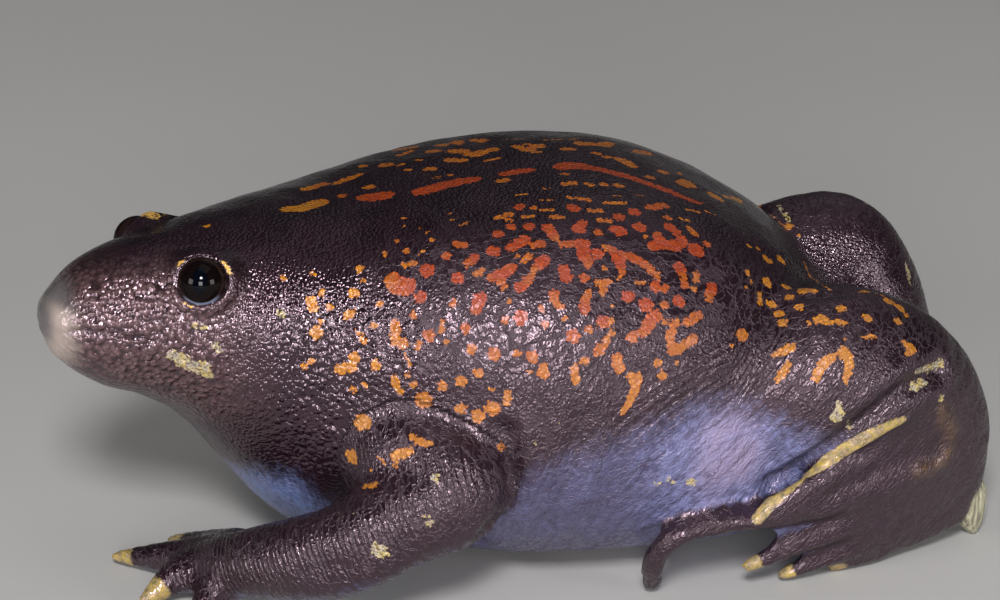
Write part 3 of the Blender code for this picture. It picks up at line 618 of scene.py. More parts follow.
loose = ramp(laid_out[:, 0], *LOOSE_FROM) * ramp(np.abs(laid_out[:, 1]), *LOOSE_SIDE)
shape += normals * ((LUMP_RISE * lumps + FOLD_RISE * loose * folded) * above_floor)[:, None]

# What rests on the floor is pressed flat there.
shape[:, 2] = np.maximum(shape[:, 2], 0.0)

# Skin markings, as seen in the picture. Round spots of the near side: x, y and half width of each,
# in pixels.
SPOTS = (
    (446, 256, 4.5), (407, 251, 3.2), (427, 270, 7.5), (420, 297, 6.5), (453, 303, 3.8), (413, 315, 4),
    (458, 278, 6), (498, 234, 5), (511, 227, 4.5), (509, 220, 3), (493, 251, 6), (517, 256, 2.5),
    (508, 301, 2.5), (521, 318, 7), (505, 320, 4), (465, 328, 5), (529, 226, 5), (520, 207, 4.8),
    (534, 208, 3), (573, 208, 6), (598, 232, 4), (616, 230, 6), (597, 254, 6), (604, 268, 3),
    (584, 278, 4.8), (545, 324, 4), (564, 318, 3), (541, 309, 4), (603, 322, 6), (613, 307, 2.2),
    (589, 329, 4), (634, 212, 5.5), (619, 217, 5), (639, 227, 6), (619, 231, 6.5), (646, 237, 2.5),
    (668, 218, 3.5), (696, 250, 7.5), (707, 244, 4), (618, 278, 2.8), (665, 288, 4.5), (694, 289, 3),
    (628, 296, 6.5), (646, 305, 7), (664, 305, 4.2), (679, 301, 6), (612, 321, 3), (573, 336, 7),
    (585, 361, 4.5), (665, 321, 3.5), (658, 363, 4), (677, 363, 2), (662, 375, 4.5), (742, 335, 6),
    (732, 345, 2.2), (736, 200, 5), (726, 197, 2.5), (749, 246, 2.2), (757, 248, 2.2), (767, 259, 4.5),
    (781, 260, 4), (748, 273, 3), (751, 282, 2.2), (746, 287, 1.8), (767, 282, 5), (779, 314, 4.5),
    (783, 323, 5), (786, 287, 4), (789, 297, 4.5), (803, 290, 5), (813, 291, 3.5), (799, 307, 4.5),
    (789, 226, 4.5), (799, 236, 2.2), (809, 323, 2.5), (841, 309, 4.5), (867, 318, 4.5), (889, 301, 4.5),
    (900, 308, 4.5), (906, 315, 2.8), (898, 321, 4), (845, 338, 2), (313, 274, 3), (283, 278, 3),
    (360, 269, 4), (363, 280, 2.8), (354, 293, 5), (321, 293, 4), (329, 307, 4), (321, 321, 2.5),
    (316, 333, 6.5), (374, 326, 4.2), (380, 305, 3.5), (376, 365, 5.2), (304, 367, 3.5), (311, 361, 3.2),
    (353, 389, 3.5), (365, 385, 3), (424, 400, 8), (442, 386, 5), (461, 381, 5.5), (478, 373, 4.8),
    (461, 409, 5.5), (478, 416, 6.5), (492, 408, 7.5), (492, 389, 2.5), (530, 372, 3), (543, 372, 6),
    (501, 447, 4), (396, 465, 3.2), (372, 470, 2), (429, 335, 6), (418, 346, 4.2), (466, 329, 5),
    (494, 354, 6.5), (517, 353, 4), (532, 357, 6), (446, 341, 3), (408, 376, 3), (413, 384, 4),
    (357, 332, 2.5), (409, 366, 2.5), (207, 226, 2.8), (404, 218, 1.8), (404, 226, 2), (420, 228, 2),
    (428, 233, 2), (432, 240, 2.2), (397, 241, 2.8), (385, 254, 2.8), (450, 214, 1.8), (452, 220, 1.8),
    (342, 196, 4),
)
# Small spots along the crest of the back, whose half widths are measured upright.
CREST_MARKS = (
    ((430, 151, 2.4), (437, 151, 2.4)), ((439, 145, 2), (445, 145, 2)), ((456, 141, 3), (459, 144, 2)),
    ((452, 151, 3), (463, 151, 3)), ((449, 160, 2.4), (455, 160, 2.4)), ((460, 161, 2), (464, 160, 2)),
    ((474, 140, 2.2), (483, 141, 2.6)), ((467, 154, 2.2), (476, 154, 3.2), (485, 151, 2.6)),
    ((491, 150, 2.4), (495, 149, 2.4)), ((484, 161, 1), (500, 158, 1)), ((427, 169, 2), (434, 169, 1.6)),
    ((406, 170, 1.2), (410, 170, 1.2)), ((383, 165, 2.6), (389, 165, 2.2)),
    ((399, 165, 1.4), (403, 164, 1.4)), ((361, 166, 2), (364, 166, 2)),
    ((417, 160, 1.2), (421, 160, 1.2)), ((448, 175, 1), (452, 175, 1)),
    ((435, 178, 1.2), (439, 177, 1.2)), ((396, 150, 2), (414, 147, 2.2)),
    ((400, 155, 1.6), (412, 151, 1.6)), ((515, 146, 2), (519, 147, 2)),
    ((523, 149, 2.4), (531, 150, 2.2)), ((534, 146, 2.4), (541, 146, 2.4)),
    ((524, 144, 1.2), (528, 144, 1.2)), ((534, 152, 1.4), (540, 152, 1.4)),
    ((564, 149, 2), (573, 149, 2)), ((579, 143, 2.8), (588, 144, 2.8)),
    ((596, 144, 2.4), (604, 145, 3), (611, 143, 2)), ((594, 153, 1.6), (600, 154, 1.6)),
    ((605, 157, 1.6), (609, 157, 1.6)), ((636, 152, 2.8), (648, 153, 3)),
    ((619, 159, 2.4), (626, 162, 3), (633, 166, 2.4)), ((661, 172, 2), (666, 172, 2)),
    ((678, 173, 1.4), (681, 174, 1.4)), ((648, 177, 2), (653, 178, 1.6)),
    ((682, 184, 3.4), (689, 183, 3.6)), ((666, 156, 1.2), (677, 160, 1.2)),
    ((712, 195, 3), (718, 198, 3)), ((725, 197, 1.4), (728, 197, 1.4)), ((733, 198, 2.4), (739, 200, 3)),
    ((500, 181, 2.4), (506, 180, 2)), ((564, 184, 1.8), (574, 183, 2)),
    ((587, 184, 1.8), (591, 185, 1.8)), ((602, 184, 1.6), (605, 185, 1.6)),
    ((616, 185, 1.8), (621, 186, 1.8)), ((562, 174, 1.2), (567, 174, 1.2)),
    ((545, 188, 1.4), (547, 188, 1.4)), ((366, 187, 2), (371, 187, 2)),
    ((336, 183, 2.2), (350, 178, 2.4), (360, 174, 1.6)),
)
# The broken stripe down the middle of the back, whose half widths are measured upright.
STRIPE = (
    ((286, 209, 2.6), (303, 208, 3.4), (321, 202, 3.4)),
    ((364, 197.5, 3.2), (374, 197, 3.6), (386, 195, 3.6)),
    ((419, 192, 3.6), (444, 185, 3.4), (462, 181, 3), (475, 179, 2.6)),
    ((503, 174, 2.2), (520, 171, 2.6), (530, 170, 2)),
    ((559, 167, 2.6), (568, 166, 3.6), (580, 166, 3.4), (603, 170, 2.4), (626, 176, 2.2), (649, 184, 2)),
    ((649, 184, 2), (669, 191, 2), (690, 200, 1.6), (702, 203, 0.8)),
    ((305, 189, 2), (313, 187, 2.4), (323, 184, 2.4)),
)
# Spots that run together into streaks.
STREAKS = (
    ((503, 139, 1), (525, 139, 1)), ((541, 140, 1), (578, 139, 1)), ((460, 226, 1.5), (469, 222, 1.5)),
    ((455, 244, 4.5), (465, 245, 4.5)), ((402, 265, 3), (415, 263, 3.4)),
    ((391, 277, 8), (398, 286, 9.5), (409, 288, 8)), ((409, 288, 6), (410, 281, 5)),
    ((395, 323, 5.5), (396, 343, 5.5)), ((397, 342, 6.5), (406, 343, 4)), ((444, 320, 3), (441, 331, 3)),
    ((476, 256, 6), (466, 265, 4)), ((475, 275, 3.2), (483, 270, 3.4)), ((496, 218, 3), (511, 214, 3.6)),
    ((508, 249, 5), (526, 239, 6.5)), ((533, 246, 4.4), (543, 243, 4.6)),
    ((523, 262, 3.4), (531, 255, 3.6)), ((545, 258, 7), (534, 270, 3.4), (527, 281, 4.5), (518, 289, 6)),
    ((514, 267, 5), (499, 275, 6), (490, 279, 4)), ((499, 275, 5), (503, 288, 4)),
    ((481, 296, 6.4), (475, 311, 5)), ((563, 267, 5.6), (568, 279, 6)),
    ((546, 225, 5), (553, 235, 5), (557, 241, 3)), ((577, 231, 6.6), (584, 222, 4.6)),
    ((522, 217, 2.6), (533, 216, 2.6)), ((541, 210, 2.4), (553, 210, 2.4)),
    ((551, 217, 3.4), (562, 217, 3.2)), ((589, 210, 3.2), (601, 211, 3.4)),
    ((598, 220, 3), (610, 221, 3.4)), ((568, 197, 2.6), (590, 200, 3.4)),
    ((515, 195, 1.4), (527, 194, 1.4)), ((604, 203, 2.4), (626, 203, 2.4)),
    ((609, 195, 1), (623, 196, 1)), ((634, 195, 1), (646, 196, 1)), ((541, 200, 1.4), (552, 200, 1.4)),
    ((560, 245, 4), (577, 243, 5), (584, 244, 6.4), (583, 256, 5.6), (589, 266, 4)),
    ((555, 292, 5), (553, 301, 3.6), (562, 307, 3.6)), ((590, 290, 3.4), (586, 299, 4), (584, 311, 5.4)),
    ((597, 282, 3.4), (604, 286, 4), (609, 281, 3.4)), ((604, 286, 4), (602, 295, 2.6)),
    ((648, 208, 4.4), (667, 205, 4)), ((686, 209, 1.6), (699, 212, 2.4)),
    ((705, 211, 1.2), (715, 215, 1.6)), ((680, 218, 2), (690, 221, 1.8)), ((667, 225, 5), (677, 233, 6)),
    ((688, 227, 3), (696, 235, 3.6)), ((657, 233, 4), (661, 243, 6.8), (650, 247, 5)),
    ((661, 243, 6), (675, 246, 6.6), (685, 239, 5)),
    ((603, 246, 3), (613, 250, 4.6), (619, 260, 6.6), (623, 272, 4)),
    ((619, 254, 5), (630, 256, 4.6), (640, 261, 4.8), (649, 268, 4.4), (658, 276, 3.6)),
    ((636, 281, 3), (644, 283, 2.8)), ((655, 284, 5.6), (658, 290, 5)),
    ((678, 265, 7.2), (683, 275, 3.6), (685, 287, 4.6)), ((697, 272, 3.4), (696, 281, 3.4)),
    ((713, 285, 6.6), (708, 300, 3.6)), ((590, 328, 4), (592, 333, 3)),
    ((613, 331, 3), (605, 342, 3.8), (597, 353, 5.4)), ((574, 366, 4), (576, 382, 4.4)),
    ((617, 357, 6), (619, 370, 5.6)), ((657, 315, 6.4), (648, 324, 6), (643, 334, 5)),
    ((635, 334, 5.6), (630, 341, 4.6)), ((686, 323, 4.4), (700, 314, 4.8)),
    ((676, 320, 4), (670, 335, 4), (673, 351, 5.4), (683, 346, 4.2), (695, 338, 5)),
    ((630, 375, 4), (636, 380, 6), (634, 392, 4.4), (628, 405, 3), (622, 413, 3)),
    ((640, 374, 3), (636, 382, 4)), ((760, 292, 3), (760, 304, 3)), ((768, 303, 3), (774, 305, 5)),
    ((804, 262, 1.6), (810, 277, 2)), ((770, 214, 1), (785, 226, 1.2)),
    ((812, 278, 1.2), (832, 291, 1.4)), ((814, 321, 3), (821, 319, 5.6), (829, 322, 4)),
    ((836, 322, 3.6), (848, 323, 2.2)), ((858, 292, 2), (868, 291, 2)),
    ((872, 292, 1.2), (884, 296, 1.4)), ((861, 337, 2), (876, 337, 2.4)),
    ((773, 355, 2.2), (783, 352, 4), (793, 346, 4.4)), ((790, 364, 3.4), (781, 374, 4), (776, 382, 2)),
    ((841, 352, 7.6), (849, 356, 5)), ((850, 358, 4.4), (848, 372, 4), (845, 382, 3.6)),
    ((833, 357, 4), (822, 364, 5.4), (816, 380, 5)), ((903, 342, 3), (913, 349, 4.4), (905, 357, 2)),
    ((948, 319, 1.4), (954, 328, 1.4)), ((345, 317, 4), (354, 311, 3.6)),
    ((311, 299, 5), (313, 309, 5.4)), ((360, 333, 2.4), (364, 343, 3.2)),
    ((402, 350, 2), (409, 362, 2.4)), ((355, 355, 5.6), (352, 367, 4.6), (338, 370, 5.8)),
    ((394, 376, 2.8), (396, 385, 4.2), (402, 393, 3)), ((442, 325, 2.6), (441, 332, 3.2)),
    ((472, 345, 4), (471, 353, 4.4)), ((508, 392, 3.6), (507, 403, 4)),
    ((410, 436, 2.6), (417, 440, 4.6), (425, 444, 3.6), (434, 443, 1.4)),
    ((393, 456, 4), (402, 454, 5), (411, 450, 4)), ((378, 457, 1.8), (386, 462, 2.4)),
    ((364, 486, 2.6), (377, 485, 2.8)), ((543, 366, 5), (545, 376, 5)),
    ((418, 254, 1.6), (424, 251, 1.6)), ((358, 422, 7.5), (367, 423, 7.5)),
    ((348, 457, 7), (355, 456, 7)),
)
# Paler, worn-looking marks, on the jaw, the shoulder, the thigh and the far shin.
PALE_MARKS = (
    ((171, 354, 5), (182, 361, 7), (196, 367, 7), (211, 376, 4)), ((205, 362, 3), (207, 368, 4)),
    ((216, 344, 4), (219, 350, 4)), ((194, 325, 2.4), (207, 327, 2.4)), ((280, 312, 3), (281, 316, 3)),
    ((375, 548, 6), (386, 553, 7)), ((435, 475, 4.4), (437, 480, 3)), ((426, 518, 3), (431, 525, 5)),
    ((657, 482, 3.4), (659, 484, 2.4)), ((667, 478, 2), (675, 483, 2)), ((688, 481, 4), (696, 484, 3)),
    ((839, 403, 2.6), (838, 414, 6), (834, 420, 6)), ((848, 420, 2), (849, 427, 3)),
    ((916, 372, 3.6), (928, 368, 4.4), (942, 362, 4)), ((911, 388, 5), (925, 382, 4)),
    ((941, 396, 3.6), (942, 400, 3)), ((906, 263, 2), (908, 272, 3.4), (910, 283, 2)),
    ((560, 423, 2), (561, 424, 1.6)), ((535, 443, 2), (536, 444, 1.8)),
    ((340, 517, 1.8), (341, 518, 1.8)), ((354, 514, 1.6), (355, 515, 1.6)),
    ((865, 203, 2), (870, 204, 2)), ((779, 205, 2), (790, 222, 2.2)),
)
# The pale band along the edge of the foot.
TOE_BAND = (
    ((904, 419, 4), (892, 426, 6), (873, 435, 7), (850, 447, 7)),
    ((850, 447, 7), (830, 459, 6.4), (804, 476, 5)),
    ((804, 477, 4.6), (784, 492, 6.2), (768, 505, 7), (756, 520, 7)),
)
SPOT_REACH = 1.4
SMALL_MARK, LARGE_MARK = 0.18, 0.62
MIRROR_GROWTH = (0.75, 1.15)
SAME_PLACE = 0.3
MARK_SPACING, END_INSET, MOST_INSET, LEAST_STEP = 2.0, 0.4, 0.4, 0.1
LEAST_TILT = 0.36
SIDE_SPREAD, MIRROR_DRIFT = 2.6, 0.5
random.seed(11)


def shortened(line):
    """A line in the picture with its two ends drawn in by part of its half width there."""
    ends = []
    for end, beside_it in ((line[0], line[1]), (line[-1], line[-2])):
        step = max(math.dist(end[:2], beside_it[:2]), LEAST_STEP)
        t = min(END_INSET * end[2] / step, MOST_INSET)
        ends.append(tuple(a + (b - a) * t for a, b in zip(end, beside_it)))
    return (ends[0], *line[1:-1], ends[1])


def marked(marks, upright=0.0):
    """How far each point of the skin lies outside the nearest mark, in mm: negative inside. Also how
    large that mark is, from 0 to 1.

    Upright says how far half widths are measured upright in the picture, from 0 to 1: on a surface
    that leans away they are then larger on the skin. The unseen side gets the same marks mirrored.
    """
    places = []
    for mark in marks:
        line = shortened(mark) if isinstance(mark[0], tuple) else (mark, mark)
        drift = Vector((random.uniform(-1, 1), 0.0, random.uniform(-1, 1))) * MIRROR_DRIFT
        growth = random.uniform(*MIRROR_GROWTH)
        for place, facing, half in traced(line, tree, MARK_SPACING):
            tilt = abs(float(facing @ picture_ray(*(float(v[0]) for v in in_picture(place)))))
            half /= PIXELS_PER_MM * max(tilt, LEAST_TILT) ** upright
            places.append((place, half))
            if straightened(place)[0, 1] < -SIDE_SPREAD:
                there, _, _, _ = tree.find_nearest(Vector(other_side(place)[0]) + drift)
                seen = tree.ray_cast(Vector(view_from), there - Vector(view_from))[0]
                if seen is None or (seen - there).length > SAME_PLACE:
                    places.append((np.array(there), half * growth))
    field, size = np.ones(count), np.zeros(count)
    for place, half in places:
        for _, index, distance in points_tree.find_range(Vector(place), half + SPOT_REACH):
            outside = (distance**2 - half**2) / (2 * half)
            if outside < field[index]:
                field[index] = outside
                size[index] = ramp(half, SMALL_MARK, LARGE_MARK)
    return field, size


tree = skin_tree(shape)
points_tree = KDTree(count)
for index, point in enumerate(shape):
    points_tree.insert(Vector(point), index)
points_tree.balance()
spots, spot_size = marked(SPOTS, 0.3)
for marks, upright, all_alike in ((STREAKS, 0.15, None), (CREST_MARKS, 0.9, 0.25), (STRIPE, 1.0, 1.0)):
    field, size = marked(marks, upright)
    spot_size = np.where(field < spots, size if all_alike is None else all_alike, spot_size)
    spots = np.minimum(spots, field)
pale_marks, _ = marked(PALE_MARKS)
toe_band, _ = marked(TOE_BAND)


# Regions of colour: the blue-grey underside, the brown face, the worn snout, the plum limbs, and the
# pale tips of the fingers and toes. Their edges are soft, from one place to another along the
# straight body, across it or up it, in mm.
BLUE_EDGE = (
    (-60, 6), (-40, 8), (-36, 12.5), (-33, 13.0), (-29, 9), (-20, 12), (-12, 15), (-8, 16.5), (-5, 18.4),
    (4.4, 21.4), (8.4, 23.0), (14.5, 21.2), (18, 19.4), (24, 16.6), (34, 12),
)
UNDERSIDE_EDGE = (-3.2, 4.2)
BELLY_SHADE, BELLY_LIGHT, BELLY_FROM, BELLY_TO = 0.28, 0.67, (-1.0, 10.0), (24.0, 30.0)
CHEST_FROM, PALM_BLUE = (20.0, 26.0), 0.45
SNOUT_TIP, SNOUT_STRETCH, SNOUT_EDGE = (-53.6, 0.3, 29.4), (1.0, 0.8, 0.75), (1.2, 6.0)
SNOUT_BELOW, SNOUT_ABOVE, SNOUT_SIDES = (-54.3, -53.0), (-32.8, -29.8), (4.0, 6.0)
FACE_BACK, FACE_TOP, FACE_UNDER = (34.0, 44.0), (-36.0, -32.5), (21.0, 26.5)
FACE_SLOPE, FACE_SLOPE_AT = 0.5, -50.0
MAUVE_PATCH, MAUVE_STRETCH, MAUVE_EDGE = (11.5, -24.0, 16.5), (1.0, 1.0, 0.7), (1.5, 5.5)
FAR_SHANK_FROM, FAR_SHANK_SIDE, FOOT_PLUM, ARM_PLUM = (21.0, 27.0), (5.0, 9.0), 0.7, 0.6
PALE_TIPS = ((LEFT_FINGERS, 3.6), (RIGHT_FINGERS, 3.0), (TOES[2:], 2.0), (mirrored_toes[2:], 2.0))
WARM_FROM, WARM_TO, WARM_LOW, SMALL_WARMTH = (-27.0, -20.0), (11.0, 16.5), (-33.0, -24.0), 0.25
CRUMPLED_FROM, CRUMPLED_TO, CRUMPLED_SIDE = (-39.0, -34.0), (-22.0, -15.0), (7.0, 12.0)
CRUMPLED_ABOVE, CRUMPLED_BELOW = (10.0, 15.0), (29.0, 33.0)
CROWN_FLATTER, FOOT_FLATTER = 0.4, 0.6
# The skin is pleated over the groin and across the forearm, and crumpled on the shoulder.
PLEATS = (
    ((640, 440), (680, 398), (725, 372), (762, 352)),
    ((455, 470), (400, 510), (330, 548), (250, 575), (190, 590)),
)
PLEAT_REACH = 5.0
laid_out = straightened(shape)
normals = normals_of(shape)
along, across, height = laid_out[:, 0], np.abs(laid_out[:, 1]), laid_out[:, 2]
edge = np.array(BLUE_EDGE)
feet = 1 - ramp(beside((LEFT_LEG[4:], RIGHT_LEG[4:], *TOES, *mirrored_toes)), *FOOT_EDGE)
underside = ramp(np.interp(along, edge[:, 0], edge[:, 1]) - height, *UNDERSIDE_EDGE)
belly_light = BELLY_SHADE + BELLY_LIGHT * ramp(along, *BELLY_FROM) * (1 - ramp(along, *BELLY_TO))
belly_light = np.maximum(belly_light, ramp(-along, *CHEST_FROM))
blue = np.maximum(underside * (1 - arms) * (1 - feet), PALM_BLUE * ramp(-normals[:, 2], 0.2, 0.9) * arms)
pleated = np.zeros(count)
for path in PLEATS:
    for places in on_both_sides(path):
        pleated = np.maximum(pleated, 1 - ramp(distance_to(places, shape), 0.35 * PLEAT_REACH, PLEAT_REACH))
mauve = 1 - ramp(np.linalg.norm((shape - MAUVE_PATCH) * MAUVE_STRETCH, axis=1), *MAUVE_EDGE)
face = ramp(-along, *FACE_BACK) * ramp(-height, *FACE_TOP)
face *= ramp(height + FACE_SLOPE * (along - FACE_SLOPE_AT), *FACE_UNDER)
snout = 1 - ramp(np.linalg.norm((laid_out - SNOUT_TIP) * SNOUT_STRETCH, axis=1), *SNOUT_EDGE)
far_shank = ramp(shape[:, 0], *FAR_SHANK_FROM) * ramp(shape[:, 1], *FAR_SHANK_SIDE)
plum = np.maximum(far_shank, np.maximum(FOOT_PLUM * feet, ARM_PLUM * arms))
tips = np.zeros(count)
for digits, reach in PALE_TIPS:
    for path in digits:
        tips = np.maximum(tips, around(path[-1][:3], reach))
warmth = ramp(along, *WARM_FROM) * (1 - ramp(along, *WARM_TO)) * (1 - 0.75 * ramp(-height, *WARM_LOW))
warmth = np.clip(warmth * (SMALL_WARMTH + (1 - SMALL_WARMTH) * spot_size), 0.0, 1.0)
snout_light = ramp(along, *SNOUT_BELOW) * ramp(-height, *SNOUT_ABOVE) * (1 - 0.6 * ramp(across, *SNOUT_SIDES))
crumpled = ramp(along, *CRUMPLED_FROM) * (1 - ramp(along, *CRUMPLED_TO)) * ramp(across, *CRUMPLED_SIDE)
crumpled *= (1 - arms) * ramp(height, *CRUMPLED_ABOVE) * (1 - ramp(height, *CRUMPLED_BELOW))
relief = (1 - CROWN_FLATTER * ramp(normals[:, 2], 0.55, 0.9)) * (1 - FOOT_FLATTER * feet)
chest = underside * ramp(-along, *CHEST_FROM) * (1 - arms)

for name, values in (
    ("spots", spots), ("pale_marks", pale_marks), ("toe_band", toe_band), ("warmth", warmth), ("blue", blue),
    ("face", face), ("snout", snout), ("plum", plum), ("tips", tips), ("painted_shade", painted_shade), ("lid_edge", lid_edge),
    ("loose", loose), ("limbs", np.maximum(arms, 0.4 * feet)), ("belly_light", belly_light), ("mauve", mauve),
    ("snout_light", snout_light), ("pleated", pleated), ("relief", relief), ("crumpled", crumpled),
    ("heel_arc", heel_arc), ("chest", chest),
):
    skin.data.attributes.new(name, "FLOAT", "POINT").data.foreach_set("value", np.clip(values, -2.0, 2.0))
skin.data.attributes.new("grain", "FLOAT_VECTOR", "POINT").data.foreach_set("vector", grain.ravel())

low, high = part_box("eye_left")
origin = np.array((low + high) / 2) - np.array(eye_place(-1)[0]) * MM
skin.data.vertices.foreach_set("co", (shape * MM + origin).ravel())
skin.data.update()
skin.data.shade_smooth()


def add_node(tree, kind, inputs=None, **settings):
    """One shader node with its settings, its values and what is plugged into it."""
    made = tree.nodes.new(kind)
    for name, value in settings.items():
        setattr(made, name, value)
    for name, value in (inputs or {}).items():
        if isinstance(value, bpy.types.NodeSocket):
            tree.links.new(value, made.inputs[name])
        else:
            made.inputs[name].default_value = value
    return made


def sums(tree, operation, *values, clamp=False):
    """Arithmetic on one or two values."""
    made = tree.nodes.new("ShaderNodeMath")
    made.operation = operation
    made.use_clamp = clamp
    for place, value in enumerate(values):
        if isinstance(value, bpy.types.NodeSocket):
            tree.links.new(value, made.inputs[place])
        else:
            made.inputs[place].default_value = value
    return made.outputs[0]


def blended(tree, amount, under, over):
    """Colour that goes from under to over."""
    made = tree.nodes.new("ShaderNodeMix")
    made.data_type = "RGBA"
    for place, value in ((0, amount), (6, under), (7, over)):
        if isinstance(value, bpy.types.NodeSocket):
            tree.links.new(value, made.inputs[place])
        else:
            made.inputs[place].default_value = value if place == 0 else (*value, 1.0)
    return made.outputs[2]


def between(tree, value, start, end, low=0.0, high=1.0):
    """The value stretched from start..end to low..high, smooth and held at the ends."""
    made = add_node(tree, "ShaderNodeMapRange", interpolation_type="SMOOTHSTEP")
    for name, number in (("From Min", start), ("From Max", end), ("To Min", low), ("To Max", high)):
        made.inputs[name].default_value = number
    tree.links.new(value, made.inputs["Value"])
    return made.outputs["Result"]


def kept(tree, name, vector=False):
    """A value that the mesh carries at its points."""
    made = add_node(tree, "ShaderNodeAttribute", attribute_name=name)
    return made.outputs["Vector" if vector else "Fac"]


def vectors(tree, operation, value, other):
    """A place or direction scaled by a number, multiplied by another or added to it."""
    second = "Scale" if operation == "SCALE" else 1
    return add_node(tree, "ShaderNodeVectorMath", {0: value, second: other}, operation=operation).outputs[0]


def surface_in_mm(tree):
    return vectors(tree, "SCALE", add_node(tree, "ShaderNodeTexCoord").outputs["Object"], 1 / MM)


def clouds(tree, where, scale, detail=2.0, roughness=0.5, result="Fac"):
    """Soft uneven noise, so many lumps to the mm."""
    values = {"Vector": where, "Scale": scale, "Detail": detail, "Roughness": roughness}
    return add_node(tree, "ShaderNodeTexNoise", values).outputs[result]


def part_of(tree, value, share):
    return sums(tree, "MULTIPLY", value, share)


def beyond(tree, value, middle, share):
    """How far a value lies over its middle, by a share."""
    return part_of(tree, sums(tree, "SUBTRACT", value, middle), share)


def inverse(tree, value):
    return sums(tree, "SUBTRACT", 1.0, value)


def new_finish(name):
    """An empty material, and its node tree."""
    finish = bpy.data.materials.new(name)
    finish.use_nodes = True
    finish.node_tree.nodes.clear()
    return finish, finish.node_tree


def surfaced(tree, values):
    """The material's shader, with its values and what is plugged into it."""
    body = add_node(tree, "ShaderNodeBsdfPrincipled", values)
    tree.links.new(body.outputs[0], add_node(tree, "ShaderNodeOutputMaterial").inputs["Surface"])


# Granules of wet toad skin: rounded grains of a size, crowded and uneven, with a mask of their tops
# and their blunt facets.
hide = bpy.data.node_groups.new("granular_hide", "ShaderNodeTree")
hide.interface.new_socket("Vector", in_out="INPUT", socket_type="NodeSocketVector")
hide.interface.new_socket("Grains per mm", in_out="INPUT", socket_type="NodeSocketFloat")
hide.interface.new_socket("Height", in_out="OUTPUT", socket_type="NodeSocketFloat")
hide.interface.new_socket("Tops", in_out="OUTPUT", socket_type="NodeSocketFloat")
hide.interface.new_socket("Facets", in_out="OUTPUT", socket_type="NodeSocketFloat")
given = hide.nodes.new("NodeGroupInput")
result = hide.nodes.new("NodeGroupOutput")
wander = vectors(hide, "SCALE", clouds(hide, given.outputs["Vector"], 1.1, 1.0, result="Color"), 0.35)
moved = vectors(hide, "ADD", given.outputs["Vector"], wander)
from_middle = add_node(
    hide, "ShaderNodeTexVoronoi", {"Vector": moved, "Scale": given.outputs["Grains per mm"]}
).outputs["Distance"]
dome = sums(hide, "SUBTRACT", 1.0, sums(hide, "POWER", part_of(hide, from_middle, 1.25), 1.6), clamp=True)
uneven = sums(hide, "ADD", 0.55, part_of(hide, clouds(hide, given.outputs["Vector"], 1.7, 1.0), 0.9))
hide.links.new(sums(hide, "MULTIPLY", dome, uneven), result.inputs["Height"])
hide.links.new(between(hide, dome, 0.55, 0.85), result.inputs["Tops"])
hide.links.new(inverse(hide, from_middle), result.inputs["Facets"])

DARK, DARKER = (0.014, 0.005, 0.009), (0.006, 0.002, 0.004)
FACE_BROWN, FACE_PEBBLE_HIGHLIGHT = (0.085, 0.045, 0.045), (0.20, 0.125, 0.13)
PLUM = (0.016, 0.007, 0.011)
BLUE_GREY, BLUE_PALE, BLUE_DARK = (0.095, 0.105, 0.22), (0.19, 0.205, 0.40), (0.035, 0.035, 0.075)
MAUVE, VEIN, CHEST_BLUE = (0.27, 0.22, 0.35), (0.03, 0.024, 0.06), (0.13, 0.20, 0.42)
SNOUT_GREY, SNOUT_DEEP = (0.33, 0.27, 0.235), (0.095, 0.085, 0.085)
SPOT_YELLOW, SPOT_RED = (0.55, 0.21, 0.008), (0.38, 0.046, 0.001)
PALE_YELLOW, PALE_GREY = (0.52, 0.40, 0.13), (0.38, 0.33, 0.25)
TOE_YELLOW, TOE_OLIVE, TOE_PINK = (0.40, 0.29, 0.06), (0.15, 0.13, 0.045), (0.34, 0.22, 0.14)
HEEL_BROWN = (0.13, 0.075, 0.03)
GOLD = (0.62, 0.36, 0.08)
FOLD_SHADE = (0.005, 0.003, 0.005)

wet_skin, t = new_finish("wet_spotted_skin")
mm = surface_in_mm(t)
along_grain = kept(t, "grain", vector=True)
coarse = clouds(t, mm, 0.28, 4.0)
medium = clouds(t, mm, 1.3, 3.0)
fine = clouds(t, mm, 4.2, 3.0, 0.6)
granules = []
for grains_per_mm in (3.0, 1.7):
    made = add_node(t, "ShaderNodeGroup", node_tree=hide)
    t.links.new(mm, made.inputs["Vector"])
    made.inputs["Grains per mm"].default_value = grains_per_mm
    granules.append(made.outputs)
small_grains, pebbles = granules
wrinkles = clouds(t, vectors(t, "MULTIPLY", along_grain, (2.4, 0.36, 0.36)), 1.0, 3.0, 0.55)
lines = clouds(t, vectors(t, "MULTIPLY", along_grain, (6.0, 0.9, 0.9)), 1.0, 2.0, 0.5)
on_face = kept(t, "face")
is_blue = kept(t, "blue")
is_loose = kept(t, "loose")
in_folds = sums(t, "MAXIMUM", is_loose, kept(t, "limbs"))
groove_shade = inverse(t, small_grains["Tops"])

# Creases are the borders of cells that are long across the grain: wide ones, and a finer net of them.
wobble = vectors(t, "SCALE", clouds(t, mm, 0.7, 3.0, result="Color"), 1.6)
cell_borders = []
for scale, length in ((0.42, 0.3), (1.3, 0.6), (0.34, 0.45)):
    where = vectors(t, "ADD", vectors(t, "MULTIPLY", along_grain, (1.0, length, length)), wobble)
    cell_borders.append(add_node(
        t, "ShaderNodeTexVoronoi", {"Vector": where, "Scale": scale}, feature="DISTANCE_TO_EDGE"
    ).outputs["Distance"])
wide_creases, narrow_creases, vein_net = cell_borders
crease = sums(t, "MULTIPLY", inverse(t, between(t, wide_creases, 0.0, 0.055)), between(t, medium, 0.2, 0.45))
narrow = sums(t, "SUBTRACT", 0.75, between(t, narrow_creases, 0.01, 0.12, 0.0, 0.75))
crease = sums(t, "MULTIPLY", sums(t, "MAXIMUM", crease, narrow), in_folds)
